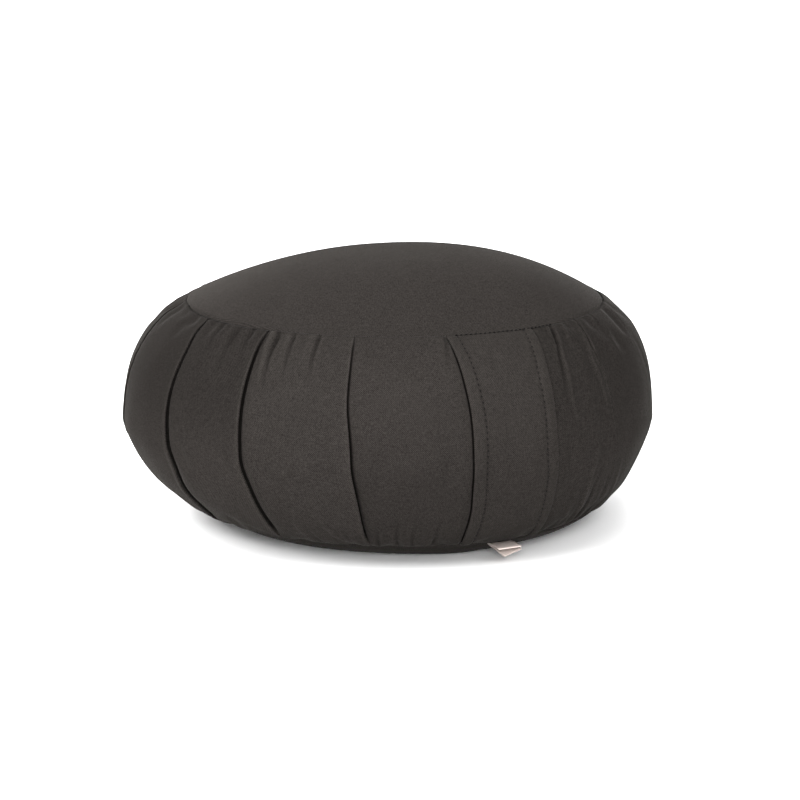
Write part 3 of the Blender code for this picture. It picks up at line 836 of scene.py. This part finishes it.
# How deep the top seam's groove is at angles round it: it nearly closes in front
SEAM_DEPTHS = (
    (-180.0, 0.7), (-110.0, 0.7), (-100.0, 0.3), (-78.0, 0.4), (-70.0, 1.4), (-38.0, 1.4),
    (-28.0, 0.3), (8.0, 0.2), (34.0, 0.4), (42.0, 0.5), (56.0, 0.4), (72.0, 0.4),
    (90.0, 0.7), (180.0, 0.7),
)


def seam_depth(angle):
    """The top seam's depth at angles round it, as a share of the roll."""
    return read_pairs(SEAM_DEPTHS, wrapped(angle))


def seam_roll(angle, share):
    """How the band's edge turns down into the seams."""
    top = bell(share * SIDE_LENGTH / SEAM_ROLL_WIDTH)
    bottom = bell((1.0 - share) * SIDE_LENGTH / SEAM_ROLL_WIDTH)
    return SEAM_ROLL * (top * seam_depth(angle) + bottom)


def painted_seam_shade(angle, share):
    """Painted shade beside the top seam's groove: the share of its lit colour that the band keeps."""
    return 1.0 - SEAM_SHADE * seam_depth(angle) * bell(share * SIDE_LENGTH / SEAM_SHADE_WIDTH)


# Rings of the filling under both round panels, and how far apart the weaves of
# neighbouring panels are taken from
CROWN_RINGS = (0.2, 0.5, 0.8, 0.95, 1.0)
DISH_RINGS = (0.0, 0.3, 0.65, 1.0)
PANEL_LAYER = 7.3
FLAP_LAYER = 3.7


def make_side(cloth_material):
    """The pleated side band over its filling, as one closed form."""
    shares = row_shares(SIDE_ROWS)
    angles, lifts, panels = side_grid(shares)
    share_grid = np.broadcast_to(shares[:, None], angles.shape)
    # tone is painted shade and light: in slots and wrinkles, by panel, beside the top seam and on pleat
    # edges
    tone = painted_fold_shade(lifts, all_wrinkles(angles, share_grid)) * painted_panel_shading(panels, share_grid)
    tone = tone * painted_seam_shade(angles, share_grid) * painted_pleat_highlight(lifts, angles, share_grid)
    relief = side_relief(angles, share_grid) - seam_roll(angles, share_grid)
    swell = swell_at(panels, angles, share_grid)
    lifts = lifts + swell + np.where(panels == FLAP_PANEL, 0.0, relief)
    inside = PANEL_SHEET + GAP
    crown = crown_points(angles[:1], np.array(CROWN_RINGS)[:, None], inside)
    dish = dish_points(angles[-1:], np.array(DISH_RINGS)[:, None], inside)
    grid = np.concatenate([crown, side_points(angles, share_grid, lifts), dish])
    rows, columns = grid.shape[:2]
    band = slice(len(crown), len(crown) + len(shares))
    centres = np.array([mix(fold.middle, next_fold(index).middle, 0.5)
                        for index, fold in enumerate(FOLDS)])
    radius = side_radius(angles, share_grid)
    cloth = np.zeros((rows, columns, 3))
    cloth[band, :, 0] = np.radians(angles - centres[panels]) * radius / MM
    cloth[band, :, 1] = share_grid * SIDE_LENGTH / MM
    cloth[:, :, 2] = panels * PANEL_LAYER
    shade = np.ones((rows, columns))
    shade[band] = tone
    tips = [crown_points(0.0, 0.0, inside), (BOTTOM_LEAN, 0.0, inside)]
    points = np.concatenate([grid.reshape(-1, 3), tips])
    cloth = np.concatenate([cloth.reshape(-1, 3), np.zeros((2, 3))])
    shade = np.concatenate([shade.ravel(), [1.0, 1.0]])
    faces = closed_faces(rows, columns)
    piece = new_piece("pleated_side", points, faces, cloth_material, cloth, shade)
    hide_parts("cushion_body")
    return piece


def round_sheet(name, outer, inner, tip_outer, tip_inner, material, shade=None):
    """A closed round sheet from rings of its outer and inner face, rim last."""
    rings, columns = outer.shape[:2]
    points = np.concatenate([outer.reshape(-1, 3), inner[::-1].reshape(-1, 3),
                             [tip_outer, tip_inner]])
    if shade is not None:
        shade = np.concatenate([shade.ravel(), np.ones(len(points) - shade.size)])
    return new_piece(name, points, closed_faces(2 * rings, columns), material, points / MM, shade)


# Round panels: columns round them, and rings of the crown, the last of them
# crowded towards its rim
PANEL_COLUMNS = 240
INNER_RINGS = 60
RIM_RINGS = 12
RIM_SHARE = 0.03
RIM_FIRST = 0.9
RIM_CROWDING = 1.5
SLOPED_RINGS = 22
FLAT_RINGS = (0.2, 0.45, 0.7, 0.9)
# Painted highlight on the crown's rim at angles round it, or painted shade below
# 0: paler at the left and left rear, darker at the right
CROWN_PAINTED_SHADING = (
    (-180.0, 0.02), (-160.0, 0.15), (-135.0, 0.22), (-95.0, 0.24), (-70.0, 0.12), (-50.0, 0.0),
    (40.0, 0.0), (75.0, -0.14), (95.0, -0.24), (120.0, -0.1), (150.0, 0.04), (180.0, 0.02),
)
PAINTED_SHADING_FROM = 0.4
PAINTED_SHADING_OVER = 0.5


def make_top(cloth_material):
    """The crowned round panel on top, its rim turned down into the seam."""
    angles = (np.arange(PANEL_COLUMNS) * 360.0 / PANEL_COLUMNS)[None, :]
    rim = 1.0 - SEAM_GAP / TOP_SEAM_RADIUS
    inner_rings = np.linspace(RIM_SHARE, 1.0 - RIM_SHARE, INNER_RINGS)
    rim_rings = 1.0 - RIM_SHARE * np.linspace(RIM_FIRST, 0.0, RIM_RINGS) ** RIM_CROWDING
    rings = np.minimum(np.concatenate([inner_rings, rim_rings]), rim)[:, None]
    roll = TOP_ROLL * bell((rim - rings) * TOP_SEAM_RADIUS / TOP_ROLL_WIDTH) * seam_depth(angles)
    turn = np.radians(angles)
    slow = 0.5 * np.sin(2.0 * turn + 0.4) + 0.25 * np.sin(5.0 * turn + 4.0 * rings)
    slow = slow * rings ** 2 * (1.0 - rings ** 3) * MM
    outer = crown_points(angles, rings, roll - slow)
    inner = crown_points(angles, rings, PANEL_SHEET + roll * TOP_ROLL_INSIDE)
    # Painted highlight and shade, growing towards the crown's rim
    painted_shading = read_pairs(CROWN_PAINTED_SHADING, wrapped(angles))
    shade = 1.0 + painted_shading * ease((rings - PAINTED_SHADING_FROM) / PAINTED_SHADING_OVER)
    piece = round_sheet("top_cover", outer, inner, crown_points(0.0, 0.0),
                        crown_points(0.0, 0.0, PANEL_SHEET), cloth_material, shade)
    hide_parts("top_panel")
    return piece


def make_bottom(cloth_material):
    """The round panel below, dished at its rim and flat on the floor."""
    angles = (-np.arange(PANEL_COLUMNS) * 360.0 / PANEL_COLUMNS)[None, :]
    dish = np.linspace(1.0, 0.0, SLOPED_RINGS)[:, None]
    insets = np.where(dish == 0.0, SEAM_GAP, 0.0)
    middle = np.array([BOTTOM_LEAN, 0.0, 0.0])
    up = np.array([0.0, 0.0, PANEL_SHEET])
    floor = dish_points(angles, np.array([[1.0]]))
    flat = middle + (floor - middle) * np.array(FLAT_RINGS)[:, None, None]
    outer = np.concatenate([flat, dish_points(angles, dish, 0.0, insets)])
    inner = np.concatenate([flat + up, dish_points(angles, dish, PANEL_SHEET, insets)])
    piece = round_sheet("bottom_cover", outer, inner, middle, middle + up, cloth_material)
    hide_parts("bottom_panel")
    return piece


# The closure panel across its width: shift from the edge in mm, then how high
# its face stands over its inner face in sheet thicknesses
FLAP_EDGE = (
    (0.0, 0.5), (0.12, 0.78), (0.4, 0.98), (0.9, 1.1), (2.0, 1.15), (4.0, 1.15), (6.0, 1.12),
    (7.0, 1.0), (7.6, 0.8), (7.9, 0.7), (8.2, 0.78), (9.0, 0.92), (11.0, 0.98), (14.0, 1.0),
)
FLAP_INNER_EDGE = 0.3
FLAP_ROWS = 150
FLAP_ENDS = (0.003, 0.997)
FLAP_MIDDLE_STEPS = 18
# It takes half the side's relief, and sinks no further into the gap than half
FLAP_RELIEF = 0.5
FLAP_SINK = GAP * 0.5
# Painted light and shade of the panel at distances in mm from its edges: a painted
# highlight on its folded edge, and painted shade along the stitches
EDGE_PAINTED_SHADING = (
    (0.0, 1.15), (0.5, 1.08), (1.4, 1.0), (6.6, 1.0), (7.6, 0.92), (8.2, 0.92), (9.4, 1.0),
)


def make_flap(cloth_material):
    """The closure panel with its two stitched hems, laid over the side."""
    shares = np.clip(row_shares(FLAP_ROWS), *FLAP_ENDS)
    start = fold_angle(FLAP_FRONT, shares)
    end = fold_angle(FLAP_BACK, shares)
    left = [(start + degrees_along(shift * MM), height) for shift, height in FLAP_EDGE]
    right = [(end - degrees_along(shift * MM), height) for shift, height in FLAP_EDGE]
    middle = [(mix(left[-1][0], right[-1][0], step / (FLAP_MIDDLE_STEPS - 1)), 1.0)
              for step in range(1, FLAP_MIDDLE_STEPS - 1)]
    outer = left + middle + right[::-1]
    inner = [(angle, 0.0) for angle, _ in outer[-2:0:-1]]
    for end_point in (0, -1):
        inner[end_point] = (inner[end_point][0], FLAP_INNER_EDGE)
    angles = np.array([angle for angle, _ in outer + inner]).T
    heights = np.array([height for _, height in outer + inner])
    share_grid = np.broadcast_to(shares[:, None], angles.shape)
    relief = side_relief(angles, share_grid) * FLAP_RELIEF - seam_roll(angles, share_grid)
    swell = swell_at(FLAP_PANEL, angles, share_grid)
    base = flap_rise(shares)[:, None] - FLAP_SHEET
    lifts = base + heights * FLAP_SHEET + swell + np.maximum(relief, -FLAP_SINK)
    points = side_points(angles, share_grid, lifts)
    rows, columns = angles.shape
    across = np.radians(angles - start[:, None]) * side_radius(angles, share_grid) / MM
    cloth = np.stack([across, share_grid * SIDE_LENGTH / MM, np.full_like(across, FLAP_LAYER)], axis=-1)
    from_edge = np.minimum(across, across[:, [len(outer) - 1]] - across)
    # Painted shade and light: in wrinkles, by panel, at its edges and stitches, and beside the top seam
    shade = painted_fold_shade(np.zeros_like(angles), all_wrinkles(angles, share_grid) * FLAP_RELIEF)
    shade = shade * painted_panel_shading(np.full(columns, FLAP_PANEL), share_grid)
    shade = shade * read_pairs(EDGE_PAINTED_SHADING, from_edge) * painted_seam_shade(angles, share_grid)
    piece = new_piece("closure_panel", points, capped_faces(rows, columns), cloth_material,
                      cloth.reshape(-1, 3), shade)
    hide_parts("closure_flap")
    return piece


# Stitches: their pitch, half their length and their radius, then how a thread
# tapers and dips at its ends and how far it lies sunk in the cloth
STITCH_PITCH = 3.45 * MM
STITCH_HALF = 0.8 * MM
STITCH_RADIUS = 0.38 * MM
STITCH_RISE = 0.6
STITCH_SUNK = 0.22
STITCH_STEP = 0.5 * MM
SEAM_STITCH_PITCH = 2.95 * MM
SEAM_STITCH_HALF = 0.85 * MM
SEAM_STITCH_RADIUS = STITCH_RADIUS * 1.1
SEAM_STITCH_RISE = 0.1 * MM
SEAM_STITCH_STEP = 0.3
THREAD_RINGS = 5
THREAD_SIDES = 6
THREAD_TAPER = 0.75
THREAD_DIP = 1.6
# Threads show in the top seam where it is deeper than this, up to an angle, and
# over the closure panel
SEAM_GAPE = 0.6
SEAM_THREADS_END = 285.0
FLAP_ANGLE = 30.0
FLAP_HALF_ANGLE = 15.0


def make_threads(name, centres, along, out, half, radius, material):
    """One piece of many short closed threads that dip at their ends."""
    across = np.cross(along, out)
    along = along / np.linalg.norm(along, axis=1, keepdims=True)
    across = across / np.linalg.norm(across, axis=1, keepdims=True)
    out = np.cross(across, along)
    t = np.linspace(-1.0, 1.0, THREAD_RINGS)
    turns = np.arange(THREAD_SIDES) * 2.0 * np.pi / THREAD_SIDES
    thickness = radius * (1.0 - THREAD_TAPER * t ** 4)
    spine = (
        centres[:, None, :]
        + along[:, None, :] * (t * half)[None, :, None]
        - out[:, None, :] * (radius * THREAD_DIP * t ** 2)[None, :, None]
    )
    ring = (
        across[:, None, None, :] * np.cos(turns)[None, None, :, None]
        + out[:, None, None, :] * np.sin(turns)[None, None, :, None]
    )
    points = (spine[:, :, None, :] + ring * thickness[None, :, None, None]).reshape(-1, 3)
    one = capped_faces(THREAD_RINGS, THREAD_SIDES)
    faces = [[corner + start for corner in face]
             for start in range(0, len(points), THREAD_RINGS * THREAD_SIDES) for face in one]
    return new_piece(name, points, faces, material, points / MM)


def hem_places(fold, inwards, share, lift):
    """Places on the closure panel, along the stitches beside one of its edges."""
    angle = fold_angle(fold, share) + inwards * degrees_along(HEM_WIDTH)
    swell = swell_at(FLAP_PANEL, angle[:, None], share[:, None])[:, 0]
    relief = np.maximum(side_relief(angle, share) * FLAP_RELIEF, -FLAP_SINK)
    face = flap_rise(share) - FLAP_SHEET * STITCH_SUNK
    return side_points(angle, share, face + swell + relief + lift)


def make_hem_stitches(thread_material):
    """Both stitch rows down the closure panel."""
    shares = np.arange(0.5, SIDE_LENGTH / STITCH_PITCH - 0.5) * STITCH_PITCH / SIDE_LENGTH
    step = STITCH_STEP / SIDE_LENGTH
    rows = []
    for hem in ((FLAP_FRONT, 1.0), (FLAP_BACK, -1.0)):
        rows.append((
            hem_places(*hem, shares, STITCH_RADIUS * STITCH_RISE),
            hem_places(*hem, shares + step, 0.0) - hem_places(*hem, shares - step, 0.0),
            hem_places(*hem, shares, MM) - hem_places(*hem, shares, 0.0),
        ))
    centres, along, out = (np.concatenate(parts) for parts in zip(*rows))
    return make_threads("hem_stitches", centres, along, out, STITCH_HALF, STITCH_RADIUS, thread_material)


def make_seam_stitches(thread_material):
    """The thread that shows in the top seam where it gapes, its colour partly painted shade of puckers."""
    count = int(2.0 * math.pi * TOP_SEAM_RADIUS / SEAM_STITCH_PITCH)
    angles = np.arange(count) * 360.0 / count
    shown = (seam_depth(angles) > SEAM_GAPE) | (np.abs(angles - FLAP_ANGLE) < FLAP_HALF_ANGLE)
    angles = angles[shown & (angles < SEAM_THREADS_END)]
    ahead, behind = (side_points(angles + step, 0.0, 0.0) for step in (SEAM_STITCH_STEP, -SEAM_STITCH_STEP))
    out = side_points(angles, 0.0, MM) - side_points(angles, 0.0, 0.0)
    return make_threads("seam_stitches", side_points(angles, 0.0, SEAM_STITCH_RISE), ahead - behind, out,
                        SEAM_STITCH_HALF, SEAM_STITCH_RADIUS, thread_material)


# The ribbon tab, folded in the bottom seam: its two plies as distance out of the
# seam and height in mm, from one end over the fold to the other
RIBBON_ROOT_RADIUS = 125.1 * MM
RIBBON_ANGLE = 26.5
RIBBON_WIDTH = 15.0 * MM
RIBBON_SHEET = 0.5 * MM
RIBBON_PATH = (
    (14.0, 8.9), (10.0, 9.3), (5.5, 9.4), (1.4, 9.2), (0.0, 8.75),
    (1.0, 7.9), (4.5, 6.8), (9.5, 5.4), (14.0, 4.1),
)
RIBBON_FOLD = 4.0
RIBBON_FINENESS = 8
RIBBON_COLUMNS = 13
# The lower ply is twisted: how far its right edge rises and its left edge skews
RIBBON_TWIST = 3.2 * MM
RIBBON_SKEW = 3.6 * MM
# Ribbon shade at distances in mm out of the seam: painted shadow near the seam and
# its paler woven edge at the ends; then the most that the lower ply takes
RIBBON_SHADOW_AND_EDGE = ((0.0, 0.45), (3.0, 0.62), (8.0, 0.85), (12.2, 0.95), (12.8, 1.45), (14.0, 1.5))
LOWER_PLY_SHADE = 0.95


def make_ribbon(ribbon_material):
    """The folded ribbon tab in the bottom seam, with a bare face."""
    root = place(RIBBON_ANGLE, RIBBON_ROOT_RADIUS, 0.0, BOTTOM_LEAN)
    turn = math.radians(RIBBON_ANGLE)
    along = np.array([math.cos(turn), math.sin(turn), 0.0])
    out = np.array([math.sin(turn), -math.cos(turn), 0.0])
    up = np.array([0.0, 0.0, 1.0])
    last = len(RIBBON_PATH) - 1
    fine = np.linspace(0.0, last, RIBBON_FINENESS * last + 1)
    distance, height = (smooth_through(np.arange(last + 1.0), np.array(values) * MM, fine)
                        for values in zip(*RIBBON_PATH))
    step_out = np.gradient(distance)
    step_up = np.gradient(height)
    size = np.hypot(step_out, step_up)
    sides = np.linspace(-0.5, 0.5, RIBBON_COLUMNS)
    below = np.clip((fine - RIBBON_FOLD) / (last - RIBBON_FOLD), 0.0, 1.0)[:, None]
    rise = RIBBON_TWIST * below * (sides + 0.5)
    skew = RIBBON_SKEW * below * (0.5 - sides)
    layers = []
    for half in (-0.5, 0.5):
        d = distance - step_up / size * RIBBON_SHEET * half
        h = height + step_out / size * RIBBON_SHEET * half
        layers.append(
            root
            + along * (RIBBON_WIDTH * sides + skew)[:, :, None]
            + out * d[:, None, None]
            + up * (h[:, None] + rise)[:, :, None]
        )
    section = np.concatenate([layers[0], layers[1][:, ::-1]], axis=1)
    rows, columns = section.shape[:2]
    across = np.concatenate([sides, sides[::-1]]) * RIBBON_WIDTH / MM
    lengths = np.concatenate([[0.0], np.cumsum(np.hypot(np.diff(distance), np.diff(height)))]) / MM
    cloth = np.stack(np.broadcast_arrays(across[None, :], lengths[:, None], 0.0), axis=-1)
    # Painted shadow near the seam, the woven edge paler at the ends
    shade = read_pairs(RIBBON_SHADOW_AND_EDGE, distance / MM)
    shade = np.where(fine > RIBBON_FOLD, np.minimum(shade, LOWER_PLY_SHADE), shade)
    piece = new_piece("ribbon_tab", section, capped_faces(rows, columns), ribbon_material,
                      cloth.reshape(-1, 3), np.repeat(shade, columns))
    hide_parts("label")
    return piece


# Materials: the pitch of the weave in mm, and colours from dark to light
WEAVE_PITCH = 1.22
CLOTH_DARK = (0.0060, 0.0053, 0.0049, 1.0)
CLOTH_LIGHT = (0.0342, 0.0306, 0.0280, 1.0)
CLOTH_SHEEN = (0.9, 0.87, 0.83, 1.0)
# Near-black thread: its own dark colour, and painted shade of the puckers round the stitches
THREAD_AND_SHADE_DARK = (0.0015, 0.0013, 0.0012, 1.0)
THREAD_AND_SHADE_LIGHT = (0.007, 0.006, 0.0055, 1.0)
RIBBON_DARK = (0.30, 0.255, 0.235, 1.0)
RIBBON_LIGHT = (0.60, 0.52, 0.48, 1.0)
FLOOR_COLOUR = (0.93, 0.93, 0.93, 1.0)
NOISE_DETAIL = 2.0


def new_material(name, roughness, specular):
    """A material with its node tree and shader."""
    material = bpy.data.materials.new(name)
    material.use_nodes = True
    shader = material.node_tree.nodes["Principled BSDF"]
    shader.inputs["Roughness"].default_value = roughness
    shader.inputs["Specular IOR Level"].default_value = specular
    return material, material.node_tree, shader


def stored(tree, name, output):
    """A value that the surface carries."""
    node = tree.nodes.new("ShaderNodeAttribute")
    node.attribute_name = name
    return node.outputs[output]


def math_node(tree, operation, first, second=None):
    """A Math node; each input is a socket or a number."""
    node = tree.nodes.new("ShaderNodeMath")
    node.operation = operation
    for index, value in enumerate((first, second)):
        if isinstance(value, float):
            node.inputs[index].default_value = value
        elif value is not None:
            tree.links.new(value, node.inputs[index])
    return node.outputs[0]


def noise_node(tree, vector, scale, roughness=0.5):
    """Noise between 0 and 1 over a vector."""
    node = tree.nodes.new("ShaderNodeTexNoise")
    node.inputs["Scale"].default_value = scale
    node.inputs["Detail"].default_value = NOISE_DETAIL
    node.inputs["Roughness"].default_value = roughness
    tree.links.new(vector, node.inputs["Vector"])
    return node.outputs["Fac"]


def ramp_node(tree, value, dark, light, dark_at=0.0, light_at=1.0):
    """A colour from dark to light as a value goes from one number to another."""
    node = tree.nodes.new("ShaderNodeValToRGB")
    low, high = node.color_ramp.elements
    low.position = dark_at
    low.color = dark
    high.position = light_at
    high.color = light
    tree.links.new(value, node.inputs[0])
    return node.outputs[0]


def shaded(tree, colour):
    """A colour scaled by the shade stored on the surface, mostly painted shade and light."""
    node = tree.nodes.new("ShaderNodeVectorMath")
    node.operation = "SCALE"
    tree.links.new(colour, node.inputs[0])
    tree.links.new(stored(tree, "shade", "Fac"), node.inputs["Scale"])
    return node.outputs[0]


def scaled(tree, vector, across, down):
    """The cloth's places scaled along each direction."""
    node = tree.nodes.new("ShaderNodeVectorMath")
    node.operation = "MULTIPLY"
    node.inputs[1].default_value = (across, down, 1.0)
    tree.links.new(vector, node.inputs[0])
    return node.outputs[0]


def weave_height(tree, vector):
    """Threads going over and under each other, between -1 and 1."""
    split = tree.nodes.new("ShaderNodeSeparateXYZ")
    tree.links.new(vector, split.inputs[0])
    turns = 2.0 * math.pi / WEAVE_PITCH
    warp, weft = (math_node(tree, "SINE", math_node(tree, "MULTIPLY", split.outputs[axis], turns))
                  for axis in (0, 1))
    return math_node(tree, "MULTIPLY", warp, weft)


def make_cloth_material():
    """Charcoal cotton weave: fine threads, uneven yarn, a soft sheen."""
    material, tree, shader = new_material("charcoal_cloth", 0.95, 0.0)
    vector = stored(tree, "cloth", "Vector")
    threads = weave_height(tree, vector)
    warp_slub = noise_node(tree, scaled(tree, vector, 1.7, 0.4), 1.0, 0.6)
    weft_slub = noise_node(tree, scaled(tree, vector, 0.4, 1.7), 1.0, 0.6)
    fleck = noise_node(tree, vector, 1.9, 0.7)
    blotch = noise_node(tree, vector, 0.045)
    height = math_node(tree, "ADD", math_node(tree, "MULTIPLY", threads, 0.5),
                       math_node(tree, "MULTIPLY", fleck, 1.6))
    tone = math_node(tree, "MULTIPLY", threads, 0.13)
    for socket, share in ((warp_slub, 0.30), (weft_slub, 0.26), (fleck, 0.62), (blotch, 0.05)):
        tone = math_node(tree, "ADD", tone, math_node(tree, "MULTIPLY", socket, share))
    colour = ramp_node(tree, tone, CLOTH_DARK, CLOTH_LIGHT, 0.38, 0.87)
    tree.links.new(shaded(tree, colour), shader.inputs["Base Color"])
    bump = tree.nodes.new("ShaderNodeBump")
    bump.inputs["Strength"].default_value = 0.5
    bump.inputs["Distance"].default_value = 0.15 * MM
    tree.links.new(height, bump.inputs["Height"])
    tree.links.new(bump.outputs[0], shader.inputs["Normal"])
    shader.inputs["Sheen Weight"].default_value = 0.05
    shader.inputs["Sheen Roughness"].default_value = 0.25
    shader.inputs["Sheen Tint"].default_value = CLOTH_SHEEN
    return material


def make_thread_material():
    """Dark matt sewing thread, its colour partly painted shade of the puckers round the stitches."""
    material, tree, shader = new_material("sewing_thread", 0.8, 0.1)
    twist = noise_node(tree, stored(tree, "cloth", "Vector"), 2.5)
    tree.links.new(ramp_node(tree, twist, THREAD_AND_SHADE_DARK, THREAD_AND_SHADE_LIGHT), shader.inputs["Base Color"])
    return material


def make_ribbon_material():
    """Beige woven ribbon with uneven yarn."""
    material, tree, shader = new_material("ribbon_weave", 0.7, 0.5)
    yarn = noise_node(tree, stored(tree, "cloth", "Vector"), 2.2)
    colour = ramp_node(tree, yarn, RIBBON_DARK, RIBBON_LIGHT)
    tree.links.new(shaded(tree, colour), shader.inputs["Base Color"])
    return material


FLOOR_SIZE = 60.0
WORLD_STRENGTH = 0.05
# Sun lamps: strength, width of the sun, height over the floor and turn from the
# front, all angles in degrees
Lamp = namedtuple("Lamp", "name strength width elevation turn")
LAMPS = (
    Lamp("key_left", 3.6, 36.0, 45.0, -60.0),
    Lamp("key_right", 1.5, 36.0, 45.0, 60.0),
    Lamp("front", 3.3, 36.0, 18.0, 0.0),
    Lamp("ceiling", 2.0, 36.0, 78.0, 0.0),
    Lamp("rim", 3.1, 36.0, 22.0, 180.0),
    Lamp("rim_left", 2.6, 36.0, 26.0, -145.0),
    Lamp("rim_right", 0.35, 36.0, 30.0, 135.0),
)


def make_floor():
    """A plain white floor that fills the view."""
    bpy.ops.mesh.primitive_plane_add(size=FLOOR_SIZE, location=(0.0, 0.0, 0.0))
    floor = bpy.context.object
    floor.name = "floor"
    material, _, shader = new_material("floor", 1.0, 0.0)
    shader.inputs["Base Color"].default_value = FLOOR_COLOUR
    floor.data.materials.append(material)


def make_light():
    """Dim pale surroundings and wide lamps from both sides, above and behind."""
    world = bpy.data.worlds.new("studio")
    world.use_nodes = True
    background = world.node_tree.nodes["Background"]
    background.inputs["Color"].default_value = (1.0, 1.0, 1.0, 1.0)
    background.inputs["Strength"].default_value = WORLD_STRENGTH
    bpy.context.scene.world = world
    for lamp in LAMPS:
        data = bpy.data.lights.new(lamp.name, "SUN")
        data.energy = lamp.strength
        data.angle = math.radians(lamp.width)
        sun = bpy.data.objects.new(lamp.name, data)
        sun.rotation_euler = (math.radians(90.0 - lamp.elevation), 0.0, math.radians(lamp.turn))
        bpy.context.scene.collection.objects.link(sun)
    bpy.context.scene.view_settings.view_transform = "Standard"


make_camera()
make_floor()
make_light()
cloth = make_cloth_material()
ribbon = make_ribbon_material()
thread = make_thread_material()
for maker, material, slot in (
    (make_side, cloth, "cloth"), (make_top, cloth, "cloth"), (make_bottom, cloth, "cloth"),
    (make_flap, cloth, "cloth"), (make_hem_stitches, thread, "cloth"),
    (make_seam_stitches, thread, "cloth"), (make_ribbon, ribbon, "ribbon"),
):
    piece = maker(material)
    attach(piece, "root")
